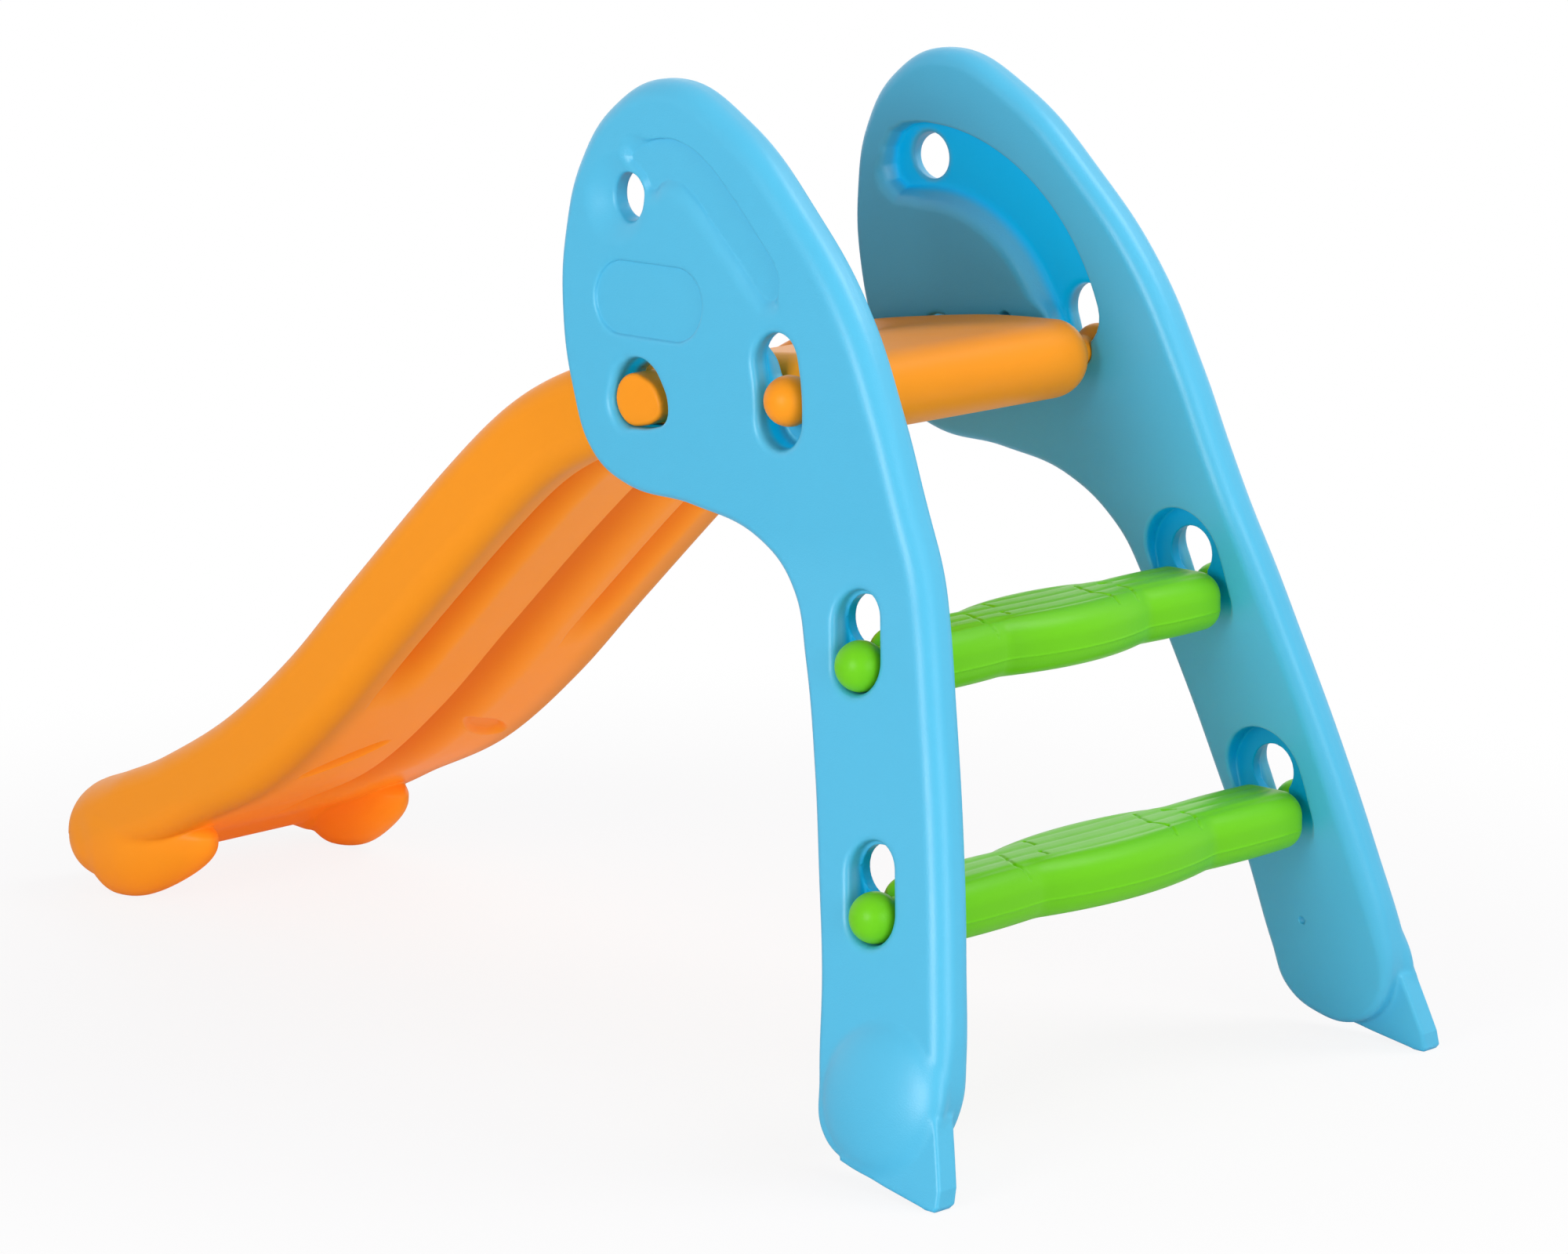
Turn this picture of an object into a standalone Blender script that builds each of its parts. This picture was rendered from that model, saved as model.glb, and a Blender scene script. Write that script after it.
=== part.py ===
"""Kids slide: two side panels, a chute with platform, and two steps, clipped together by balls and lugs."""
import math

import bmesh
import bpy
from mathutils import Matrix, Vector

# Overall layout. X runs along the slide with the steps at +X, Z is up, sizes in metres.
MIDDLE_X = 0.5355
PANEL_THICKNESS = 0.0320
BEND_Z = 0.3926
BEND_SOFTNESS = 0.0180
LEG_SPLAY_DEG = 12.98
TOP_LEAN_DEG = 3.55
WIDE_RIM = 0.0145
SMALL_RIM = 0.0062
INNER_RIM_SHARE = 0.80
TONGUE_THICKNESS = 0.0190
DOME_RADIUS = 0.0515
DOME_HEIGHT = 0.0120

# Hinge lug, its hole, and the hand hole.
LUG_X = -0.3733
LUG_Z = 0.4787
LUG_RADIUS = 0.0187
LUG_SHORT_OF_FACE = 0.0040
LUG_NOSE = ((1.19, -0.57), (1.38, -0.12), (1.06, 0.55))
LUG_HOLE_SIDE = ((1.21, -0.84), (1.79, -0.56), (1.89, 0.02), (1.53, 0.80), (0.98, 1.37), (0.17, 1.58), (-0.66, 1.11))
HAND_HOLE_X = -0.3780
HAND_HOLE_Z = 0.6190
HAND_HOLE_RADIUS = 0.0170
TRACK_DEPTH = 0.0150
TRACK_HALF_WIDTH = 0.0225
RECESS_DEPTH = 0.0030

# Balls that snap into the keyholes.
BALL_RADIUS = 0.0175
NECK_RADIUS = 0.0105
SLOT_CLEARANCE = 0.0005
SEAT_GAP = 0.0002
MOUTH_CLEARANCE = 0.0010
POCKET_CLEARANCE = 0.0025
BALL_WEB_GAP = 0.0003
STEP_WEB = 0.0080
STEP_BALL_INSET = 0.0060
REAR_BALL_INSET = 0.0115
REAR_BALL_ARM = 0.1428
REAR_BALL_DEG = 6.0
REAR_MOUTH_DEG = 16.7

# Steps.
UPPER_STEP_X = -0.1400
UPPER_STEP_Z = 0.3290
LOWER_STEP_X = -0.0925
LOWER_STEP_Z = 0.1722
STEP_TRAVEL = 0.0280
STEP_TILT_DEG = 13.0
STEP_HALF_HEIGHT = 0.0206
STEP_END_HALF_WIDTH = 0.0290
STEP_END_ROUND = 0.0190
STEP_SWELL = 0.0140
STEP_END_SWELL = 0.0035
STEP_END_GAP = 0.0022
STEP_BODY_DROP = 0.0018
INNER_POCKET_CLEARANCE = 0.0030

# Chute.
CHUTE_HALF_WIDTH = 0.1345
CHUTE_SIDE_CLEARANCE = 0.0085
CHUTE_TOP_ROUND = 0.0180
CHUTE_LOW_ROUND = 0.0260
POST_ROOT = 0.0300
CHUTE_DEPTH = 0.0650
RAIL_WIDTH = 0.0300
BULB_X = -1.0250
BULB_Y = 0.1095
BULB_Z = 0.0580
BULB_FRONT = 0.0450
BULB_BACK = 0.1200
BULB_HALF_WIDTH = 0.0270
BULB_HALF_HEIGHT = 0.0590
BULB_TOP = 0.0100

# The panels stand clear of the chute's sides, which sets how far apart they are at the bend.
BEND_HALF_SPREAD = CHUTE_HALF_WIDTH + CHUTE_SIDE_CLEARANCE + PANEL_THICKNESS / 2.0

BLUE = (0.105, 0.552, 0.863, 1.0)
ORANGE = (0.956, 0.330, 0.030, 1.0)
GREEN = (0.162, 0.651, 0.032, 1.0)


def clear_scene():
    for obj in list(bpy.data.objects):
        bpy.data.objects.remove(obj, do_unlink=True)


def new_collection(name, hidden):
    group = bpy.data.collections.new(name)
    bpy.context.scene.collection.children.link(group)
    group.hide_render = hidden
    return group


def plastic(name, colour):
    material = bpy.data.materials.new(name)
    material.use_nodes = True
    shader = material.node_tree.nodes["Principled BSDF"]
    shader.inputs["Base Color"].default_value = colour
    shader.inputs["Roughness"].default_value = 0.42
    return material


def add_object(name, mesh, group, cutter=False):
    obj = bpy.data.objects.new(name, mesh)
    group.objects.link(obj)
    if cutter:
        obj.hide_render = True
        obj.display_type = "WIRE"
    return obj


def middle_y(z):
    """Distance of the panel's middle surface from the slide's centre plane at height z."""
    below = BEND_Z - z
    slope_low = math.tan(math.radians(LEG_SPLAY_DEG))
    slope_high = math.tan(math.radians(TOP_LEAN_DEG))
    if below >= BEND_SOFTNESS:
        return BEND_HALF_SPREAD + below * slope_low
    if below <= -BEND_SOFTNESS:
        return BEND_HALF_SPREAD + below * slope_high
    share = (below + BEND_SOFTNESS) / (2.0 * BEND_SOFTNESS)
    start = BEND_HALF_SPREAD - BEND_SOFTNESS * slope_high
    return start + 2.0 * BEND_SOFTNESS * (slope_high * share + (slope_low - slope_high) * share * share / 2.0)


def outer_y(z):
    return middle_y(z) + PANEL_THICKNESS / 2.0


def arc_points(x, z, radius, start_deg, end_deg, count):
    """Points on an arc, angles counted from +X towards +Z."""
    points = []
    for index in range(count + 1):
        angle = math.radians(start_deg + (end_deg - start_deg) * index / count)
        points.append((x + radius * math.cos(angle), z + radius * math.sin(angle)))
    return points


def capsule(low, high, radius, count=12):
    """Outline of a slot with round ends of the same radius around two points."""
    along = math.degrees(math.atan2(high[1] - low[1], high[0] - low[0]))
    top = arc_points(high[0], high[1], radius, along - 90.0, along + 90.0, count)
    bottom = arc_points(low[0], low[1], radius, along + 90.0, along + 270.0, count)
    return top + bottom


def prism(name, points, y_low, y_high, group, smooth=False, resolution=3, cutter=True):
    """Solid with the given outline in the XZ plane, running from y_low to y_high."""
    curve = bpy.data.curves.new(name + "_curve", "CURVE")
    curve.dimensions = "2D"
    curve.fill_mode = "BOTH"
    curve.extrude = (y_high - y_low) / 2.0
    if smooth:
        spline = curve.splines.new("BEZIER")
        spline.bezier_points.add(len(points) - 1)
        for knot, (x, z) in zip(spline.bezier_points, points):
            knot.co = (x, z, 0.0)
            knot.handle_left_type = "AUTO"
            knot.handle_right_type = "AUTO"
        spline.resolution_u = resolution
        curve.resolution_u = resolution
    else:
        spline = curve.splines.new("POLY")
        spline.points.add(len(points) - 1)
        for knot, (x, z) in zip(spline.points, points):
            knot.co = (x, z, 0.0, 1.0)
    spline.use_cyclic_u = True
    holder = bpy.data.objects.new(name + "_holder", curve)
    bpy.context.scene.collection.objects.link(holder)
    bpy.context.view_layer.update()
    graph = bpy.context.evaluated_depsgraph_get()
    mesh = bpy.data.meshes.new_from_object(holder.evaluated_get(graph))
    bpy.data.objects.remove(holder, do_unlink=True)
    mesh.transform(Matrix.Rotation(math.radians(90.0), 4, "X"))
    mesh.transform(Matrix.Translation((0.0, (y_low + y_high) / 2.0, 0.0)))
    body = bmesh.new()
    body.from_mesh(mesh)
    bmesh.ops.remove_doubles(body, verts=body.verts, dist=0.00001)
    bmesh.ops.recalc_face_normals(body, faces=body.faces)
    bmesh.ops.dissolve_limit(
        body,
        angle_limit=math.radians(0.5),
        verts=body.verts,
        edges=[edge for edge in body.edges if edge.calc_length() > 0 and flat_edge(edge)],
    )
    body.to_mesh(mesh)
    body.free()
    return add_object(name, mesh, group, cutter)


def flat_edge(edge):
    """True for an edge inside one of the two flat ends of a prism."""
    return len(edge.link_faces) == 2 and all(abs(face.normal.y) > 0.99 for face in edge.link_faces)


def slant(obj, floor_y, low_end=True):
    """Move one end of a prism in flat panel space so that it stands upright at world distance floor_y."""
    ys = [vertex.co.y for vertex in obj.data.vertices]
    middle = (min(ys) + max(ys)) / 2.0
    for vertex in obj.data.vertices:
        if (vertex.co.y < middle) == low_end:
            vertex.co.y = floor_y - middle_y(vertex.co.z)


def boolean(target, tool, operation, name):
    step = target.modifiers.new(name, "BOOLEAN")
    step.operation = operation
    step.object = tool
    step.solver = "EXACT"


def bevel_weights(obj, weight_of):
    """Give the sharp rim edges of a prism a bevel weight chosen by their middle point."""
    body = bmesh.new()
    body.from_mesh(obj.data)
    layer = body.edges.layers.float.new("bevel_weight_edge")
    for edge in body.edges:
        normals = [face.normal.y for face in edge.link_faces]
        rim = len(normals) == 2 and (abs(normals[0]) > 0.9) != (abs(normals[1]) > 0.9)
        if rim:
            edge[layer] = weight_of((edge.verts[0].co + edge.verts[1].co) / 2.0)
    body.to_mesh(obj.data)
    body.free()


def applied(obj):
    """Replace an object's mesh by the result of its modifiers."""
    bpy.context.view_layer.update()
    graph = bpy.context.evaluated_depsgraph_get()
    mesh = bpy.data.meshes.new_from_object(obj.evaluated_get(graph))
    obj.modifiers.clear()
    obj.data = mesh
    return obj


def shade(obj, angle=32.0):
    obj.data.shade_smooth()
    obj.data.set_sharp_from_angle(angle=math.radians(angle))


def smoothstep(low, high, value):
    share = min(1.0, max(0.0, (value - low) / (high - low)))
    return share * share * (3.0 - 2.0 * share)


def step_ball_y(z):
    return outer_y(z) - STEP_BALL_INSET


def web_outer_y(ball_y):
    reach = math.sqrt(BALL_RADIUS ** 2 - (NECK_RADIUS + SLOT_CLEARANCE) ** 2)
    return ball_y - reach - BALL_WEB_GAP


def rear_ball():
    angle = math.radians(REAR_BALL_DEG)
    return LUG_X + REAR_BALL_ARM * math.cos(angle), LUG_Z + REAR_BALL_ARM * math.sin(angle)


def rear_ball_y():
    return outer_y(rear_ball()[1]) - REAR_BALL_INSET


def arc_slot(radius, low_deg, high_deg, count=10):
    """Outline of a slot of half width radius whose middle line is an arc about the lug's axis."""
    points = arc_points(LUG_X, LUG_Z, REAR_BALL_ARM + radius, low_deg, high_deg, count)
    tip = (math.cos(math.radians(high_deg)), math.sin(math.radians(high_deg)))
    points += arc_points(
        LUG_X + REAR_BALL_ARM * tip[0], LUG_Z + REAR_BALL_ARM * tip[1], radius, high_deg, high_deg + 180.0, 10
    )[1:]
    points += arc_points(LUG_X, LUG_Z, REAR_BALL_ARM - radius, high_deg, low_deg, count)[1:]
    tip = (math.cos(math.radians(low_deg)), math.sin(math.radians(low_deg)))
    points += arc_points(
        LUG_X + REAR_BALL_ARM * tip[0], LUG_Z + REAR_BALL_ARM * tip[1], radius, low_deg + 180.0, low_deg + 360.0, 10
    )[1:-1]
    return points


def curve_outline(name, knots, resolution):
    """Points in order, counterclockwise from +X towards +Z, along a smooth closed curve through the knots."""
    curve = bpy.data.curves.new(name, "CURVE")
    curve.dimensions = "2D"
    curve.fill_mode = "NONE"
    spline = curve.splines.new("BEZIER")
    spline.bezier_points.add(len(knots) - 1)
    for knot, (x, z) in zip(spline.bezier_points, knots):
        knot.co = (x, z, 0.0)
        knot.handle_left_type = "AUTO"
        knot.handle_right_type = "AUTO"
    spline.resolution_u = resolution
    curve.resolution_u = resolution
    spline.use_cyclic_u = True
    holder = bpy.data.objects.new(name, curve)
    bpy.context.scene.collection.objects.link(holder)
    bpy.context.view_layer.update()
    graph = bpy.context.evaluated_depsgraph_get()
    mesh = bpy.data.meshes.new_from_object(holder.evaluated_get(graph))
    points = [(vertex.co.x, vertex.co.y) for vertex in mesh.vertices]
    bpy.data.objects.remove(holder, do_unlink=True)
    area = sum(a[0] * b[1] - b[0] * a[1] for a, b in zip(points, points[1:] + points[:1]))
    return points if area > 0.0 else points[::-1]


def rim_width(x, z):
    """Width of the rounding on the outer rim: wide along the back and top, small elsewhere."""
    if x < -0.30:
        share = smoothstep(0.56, 0.69, z)
    elif z < 0.43 and x < -0.045 - 0.27 * z:
        share = 0.0
    else:
        share = smoothstep(0.03, 0.12, z)
    return SMALL_RIM + (WIDE_RIM - SMALL_RIM) * share


def panel_body(group, cutters):
    """Leg, guard and foot of one panel, before the bend is put in."""
    half = PANEL_THICKNESS / 2.0
    knots = [
        (-0.3580, 0.7000), (-0.2910, 0.6765), (-0.2230, 0.6195), (-0.1735, 0.5620), (-0.1355, 0.4900),
        (-0.1150, 0.4412), (-0.0890, 0.3800), (-0.0640, 0.3030), (-0.0410, 0.2250), (-0.0220, 0.1480),
        (-0.0105, 0.0900), (-0.0105, 0.0580), (-0.0240, 0.0310), (-0.0500, 0.0145), (-0.0800, 0.0145),
        (-0.1080, 0.0310), (-0.1175, 0.0640), (-0.1300, 0.1310), (-0.1455, 0.1900), (-0.1650, 0.2600),
        (-0.1885, 0.3280), (-0.2080, 0.3690), (-0.2470, 0.3990), (-0.3110, 0.4135), (-0.3800, 0.4205),
        (-0.4120, 0.4390), (-0.4340, 0.4820), (-0.4462, 0.5335), (-0.4465, 0.5905), (-0.4362, 0.6390),
        (-0.4080, 0.6790),
    ]
    outline = curve_outline("panel_outline", knots, 3)
    rings = []
    turns = 4
    insets = []
    for index, point in enumerate(outline):
        before = outline[index - 1]
        after = outline[(index + 1) % len(outline)]
        along = Vector((after[0] - before[0], after[1] - before[1])).normalized()
        insets.append((Vector((-along.y, along.x)), rim_width(point[0], point[1])))
    for step in range(turns):
        angle = math.radians(90.0 * step / (turns - 1))
        ring = []
        for point, (inward, wide) in zip(outline, insets):
            small = SMALL_RIM + INNER_RIM_SHARE * (wide - SMALL_RIM)
            shift = inward * small * (1.0 - math.sin(angle))
            ring.append(Vector((point[0] + shift.x, -half + small * (1.0 - math.cos(angle)), point[1] + shift.y)))
        rings.append(ring)
    for step in range(turns):
        angle = math.radians(90.0 * step / (turns - 1))
        ring = []
        for point, (inward, wide) in zip(outline, insets):
            shift = inward * wide * (1.0 - math.cos(angle))
            ring.append(Vector((point[0] + shift.x, half - wide * (1.0 - math.sin(angle)), point[1] + shift.y)))
        rings.append(ring)
    panel = loft("panel_body", rings, group)

    tongue_points = [
        (-0.0860, 0.0160), (-0.0440, 0.0070), (-0.0100, 0.0010), (-0.0060, 0.0), (0.0020, 0.0),
        (0.0050, 0.0030), (0.0045, 0.0140), (-0.0010, 0.0330), (-0.0080, 0.0560), (-0.0320, 0.0800),
        (-0.0720, 0.0600),
    ]
    tongue = prism("tongue", tongue_points, half - TONGUE_THICKNESS, half - 0.0004, cutters)
    bevel_weights(tongue, lambda point: 1.0)
    edge = tongue.modifiers.new("edge", "BEVEL")
    edge.width = 0.0025
    edge.segments = 2
    edge.limit_method = "WEIGHT"
    edge.use_clamp_overlap = True
    boolean(panel, tongue, "UNION", "add_tongue")

    dome_mesh = bpy.data.meshes.new("dome")
    dome_shape = bmesh.new()
    bmesh.ops.create_uvsphere(dome_shape, u_segments=24, v_segments=14, radius=1.0)
    bmesh.ops.rotate(dome_shape, verts=dome_shape.verts, matrix=Matrix.Rotation(math.radians(90.0), 3, "X"))
    sink = 0.0060
    bmesh.ops.scale(dome_shape, vec=(DOME_RADIUS, DOME_HEIGHT + sink, DOME_RADIUS), verts=dome_shape.verts)
    bmesh.ops.translate(dome_shape, vec=(-0.0605, half - sink, 0.0630), verts=dome_shape.verts)
    dome_shape.to_mesh(dome_mesh)
    dome_shape.free()
    dome = add_object("dome", dome_mesh, cutters, cutter=True)
    boolean(panel, dome, "UNION", "add_dome")
    return panel


def cut_step_seat(panel, tag, x, z, cutters):
    """Outer pocket, inner pocket and keyhole web that hold one ball of a step."""
    half = PANEL_THICKNESS / 2.0
    tilt = math.radians(STEP_TILT_DEG)
    along = (-math.sin(tilt), math.cos(tilt))
    ball_y = step_ball_y(z)
    web_out = web_outer_y(ball_y)
    web_in = web_out - STEP_WEB
    top = (x + along[0] * STEP_TRAVEL, z + along[1] * STEP_TRAVEL)
    rest = (x, z)
    pocket_radius = BALL_RADIUS + POCKET_CLEARANCE
    pocket = prism(tag + "_outer_pocket", capsule((x, z + 0.0018), (top[0], top[1] + 0.0020), pocket_radius),
                   -half / 2.0, half + 0.010, cutters)
    slant(pocket, web_out)
    boolean(panel, pocket, "DIFFERENCE", tag + "_outer_pocket")

    end_radius = STEP_END_HALF_WIDTH + INNER_POCKET_CLEARANCE
    inner = prism(tag + "_inner_pocket", capsule(rest, top, end_radius, 14), -half - 0.030, half / 2.0, cutters)
    slant(inner, web_in, low_end=False)
    boolean(panel, inner, "DIFFERENCE", tag + "_inner_pocket")
    shallow = prism(tag + "_shallow_pocket", capsule(rest, top, end_radius + 0.0012, 14), -half - 0.030,
                    -half + 0.0030, cutters)
    boolean(panel, shallow, "DIFFERENCE", tag + "_shallow_pocket")

    slot_radius = NECK_RADIUS + SLOT_CLEARANCE
    drop = SLOT_CLEARANCE - SEAT_GAP
    seat = (x - along[0] * drop, z - along[1] * drop)
    sloped = capsule(seat, top, slot_radius, 14)
    mouth = arc_points(top[0], top[1], BALL_RADIUS + MOUTH_CLEARANCE, 0.0, 360.0, 26)[:-1]
    for label, outline in (("slot", sloped), ("mouth", mouth)):
        cutter = prism(tag + "_" + label, outline, -half - 0.02, half + 0.02, cutters)
        boolean(panel, cutter, "DIFFERENCE", tag + "_" + label)


def cut_panel(panel, cutters):
    half = PANEL_THICKNESS / 2.0
    cut_step_seat(panel, "upper", UPPER_STEP_X, UPPER_STEP_Z, cutters)
    cut_step_seat(panel, "lower", LOWER_STEP_X, LOWER_STEP_Z, cutters)

    ball_y = rear_ball_y()
    web_out = web_outer_y(ball_y)
    pocket_radius = BALL_RADIUS + POCKET_CLEARANCE
    pocket = prism("rear_pocket", arc_slot(pocket_radius, REAR_BALL_DEG - 4.8, REAR_MOUTH_DEG), -half / 2.0,
                   half + 0.01, cutters)
    slant(pocket, web_out)
    boolean(panel, pocket, "DIFFERENCE", "rear_pocket")
    slot_radius = NECK_RADIUS + SLOT_CLEARANCE
    drop = math.degrees((SLOT_CLEARANCE - SEAT_GAP) / REAR_BALL_ARM)
    slot = prism("rear_slot", arc_slot(slot_radius, REAR_BALL_DEG - drop, REAR_MOUTH_DEG), -half - 0.01, half,
                 cutters)
    boolean(panel, slot, "DIFFERENCE", "rear_slot")

    inner_radius = REAR_BALL_ARM - TRACK_HALF_WIDTH
    outer_radius = REAR_BALL_ARM + TRACK_HALF_WIDTH
    low = REAR_MOUTH_DEG
    high = 97.0
    turn = math.radians(high)
    cap = (LUG_X + REAR_BALL_ARM * math.cos(turn), LUG_Z + REAR_BALL_ARM * math.sin(turn))
    turn = math.radians(low)
    mouth = (LUG_X + REAR_BALL_ARM * math.cos(turn), LUG_Z + REAR_BALL_ARM * math.sin(turn))
    track = arc_points(LUG_X, LUG_Z, outer_radius, low, high, 22)
    track += arc_points(cap[0], cap[1], TRACK_HALF_WIDTH, high, high + 180.0, 12)[1:]
    track += arc_points(LUG_X, LUG_Z, inner_radius, high, low, 20)[1:]
    track += arc_points(mouth[0], mouth[1], TRACK_HALF_WIDTH, low + 180.0, low + 360.0, 12)[1:-1]
    groove = prism("fold_track", track, -half - 0.02, -half + TRACK_DEPTH, cutters)
    for vertex in groove.data.vertices:
        if vertex.co.y > -half:
            away = Vector((vertex.co.x - LUG_X, 0.0, vertex.co.z - LUG_Z))
            if away.length < REAR_BALL_ARM - TRACK_HALF_WIDTH * 0.9:
                vertex.co += away.normalized() * 0.006
    triangulated(groove)
    boolean(panel, groove, "DIFFERENCE", "fold_track")
    mouth_hole = prism("rear_mouth", arc_points(mouth[0], mouth[1], BALL_RADIUS + MOUTH_CLEARANCE, 0.0, 360.0,
                                                28)[:-1], -half - 0.01, half, cutters)
    boolean(panel, mouth_hole, "DIFFERENCE", "rear_mouth")

    hand = prism("hand_hole", arc_points(HAND_HOLE_X, HAND_HOLE_Z, HAND_HOLE_RADIUS, 5.0, 365.0, 28)[:-1],
                 -half - 0.02, half + 0.02, cutters)
    boolean(panel, hand, "DIFFERENCE", "hand_hole")

    reach = LUG_RADIUS + SLOT_CLEARANCE
    hole = arc_points(LUG_X, LUG_Z, reach, 165.0, 285.0, 9)
    for across, up in LUG_HOLE_SIDE:
        hole.append((LUG_X + across * reach, LUG_Z + up * reach))
    lug_hole = prism("lug_hole", hole, -half - 0.02, half + 0.02, cutters)
    boolean(panel, lug_hole, "DIFFERENCE", "lug_hole")

    banana = [
        (-0.3810, 0.6480), (-0.3490, 0.6610), (-0.3050, 0.6470), (-0.2580, 0.6040), (-0.2350, 0.5750),
        (-0.2400, 0.5610), (-0.2520, 0.5620), (-0.2770, 0.5850), (-0.3240, 0.6260), (-0.3480, 0.6330),
        (-0.3620, 0.6310),
    ]
    recess = prism("outer_recess", banana, half - RECESS_DEPTH, half + 0.02, cutters, smooth=True, resolution=3)
    boolean(panel, recess, "DIFFERENCE", "outer_recess")


def bend_panel(panel):
    """Slice the flat panel through the bend and move every level out to the middle surface."""
    body = bmesh.new()
    body.from_mesh(panel.data)
    bmesh.ops.triangulate(body, faces=body.faces)
    levels = 4
    for index in range(levels):
        height = BEND_Z - BEND_SOFTNESS + 2.0 * BEND_SOFTNESS * index / (levels - 1)
        bmesh.ops.bisect_plane(
            body,
            geom=body.verts[:] + body.edges[:] + body.faces[:],
            plane_co=(0.0, 0.0, height),
            plane_no=(0.0, 0.0, 1.0),
            dist=0.00002,
        )
    for vertex in body.verts:
        vertex.co.y += middle_y(vertex.co.z)
    bmesh.ops.remove_doubles(body, verts=body.verts, dist=0.00002)
    bmesh.ops.triangulate(body, faces=body.faces)
    bmesh.ops.recalc_face_normals(body, faces=body.faces)
    body.to_mesh(panel.data)
    body.free()


def triangulated(obj):
    body = bmesh.new()
    body.from_mesh(obj.data)
    bmesh.ops.triangulate(body, faces=body.faces)
    body.to_mesh(obj.data)
    body.free()


def mirrored(mesh, name):
    copy = mesh.copy()
    copy.name = name
    copy.transform(Matrix.Scale(-1.0, 4, (0.0, 1.0, 0.0)))
    copy.flip_normals()
    return copy


def catmull(rows, steps):
    """Smooth rows of numbers with a Catmull-Rom spline, steps pieces between neighbours."""
    result = []
    count = len(rows)
    for index in range(count - 1):
        before = rows[max(0, index - 1)]
        first = rows[index]
        second = rows[index + 1]
        after = rows[min(count - 1, index + 2)]
        for piece in range(steps):
            t = piece / steps
            row = []
            for a, b, c, d in zip(before, first, second, after):
                row.append(0.5 * (2 * b + (c - a) * t + (2 * a - 5 * b + 4 * c - d) * t * t
                                  + (3 * b - a - 3 * c + d) * t ** 3))
            result.append(row)
    result.append(list(rows[-1]))
    return result


def loft(name, rings, group, cutter=False):
    """Closed solid through rings of equal point count, with a flat cap at each end."""
    mesh = bpy.data.meshes.new(name)
    body = bmesh.new()
    layers = [[body.verts.new(point) for point in ring] for ring in rings]
    count = len(rings[0])
    for lower, upper in zip(layers, layers[1:]):
        for index in range(count):
            after = (index + 1) % count
            body.faces.new((lower[index], lower[after], upper[after], upper[index]))
    body.faces.new(layers[0])
    body.faces.new(list(reversed(layers[-1])))
    bmesh.ops.recalc_face_normals(body, faces=body.faces)
    body.to_mesh(mesh)
    body.free()
    return add_object(name, mesh, group, cutter)


def chute_section(half_width, depth, bed, rail, groove):
    """Half outline of the chute, from the middle of the bed round to the middle of the underside."""
    top_round = min(CHUTE_TOP_ROUND, depth * 0.30)
    low_round = min(CHUTE_LOW_ROUND, depth * 0.44)
    lip = rail * 0.38
    inner = half_width - rail
    bed_round = min(0.016, 0.15 * depth + 0.5 * bed)
    points = [(0.0, bed), (inner * 0.55, bed), (inner - bed_round, bed)]
    points.append((inner - bed_round * 0.35, bed - bed_round * 0.22 * min(1.0, bed / 0.02)))
    points.append((inner, bed * 0.62))
    points.append((inner + lip * 0.35, bed * 0.18))
    points.append((half_width - top_round - 0.002, 0.0))
    for index in range(1, 4):
        angle = math.radians(90.0 - 30.0 * index)
        points.append((half_width - top_round + top_round * math.cos(angle), top_round - top_round * math.sin(angle)))
    for index in range(0, 5):
        angle = math.radians(-22.5 * index)
        points.append((half_width - low_round + low_round * math.cos(angle),
                       depth - low_round - low_round * math.sin(angle)))
    edge = half_width - low_round
    points.append((edge * 0.86, depth))
    points.append((edge * 0.76, depth))
    points.append((edge * 0.66, depth - groove))
    points.append((edge * 0.54, depth - groove * 0.15))
    points.append((edge * 0.26, depth))
    points.append((edge * 0.12, depth - groove * 1.1))
    points.append((0.0, depth - groove * 1.1))
    return points


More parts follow.
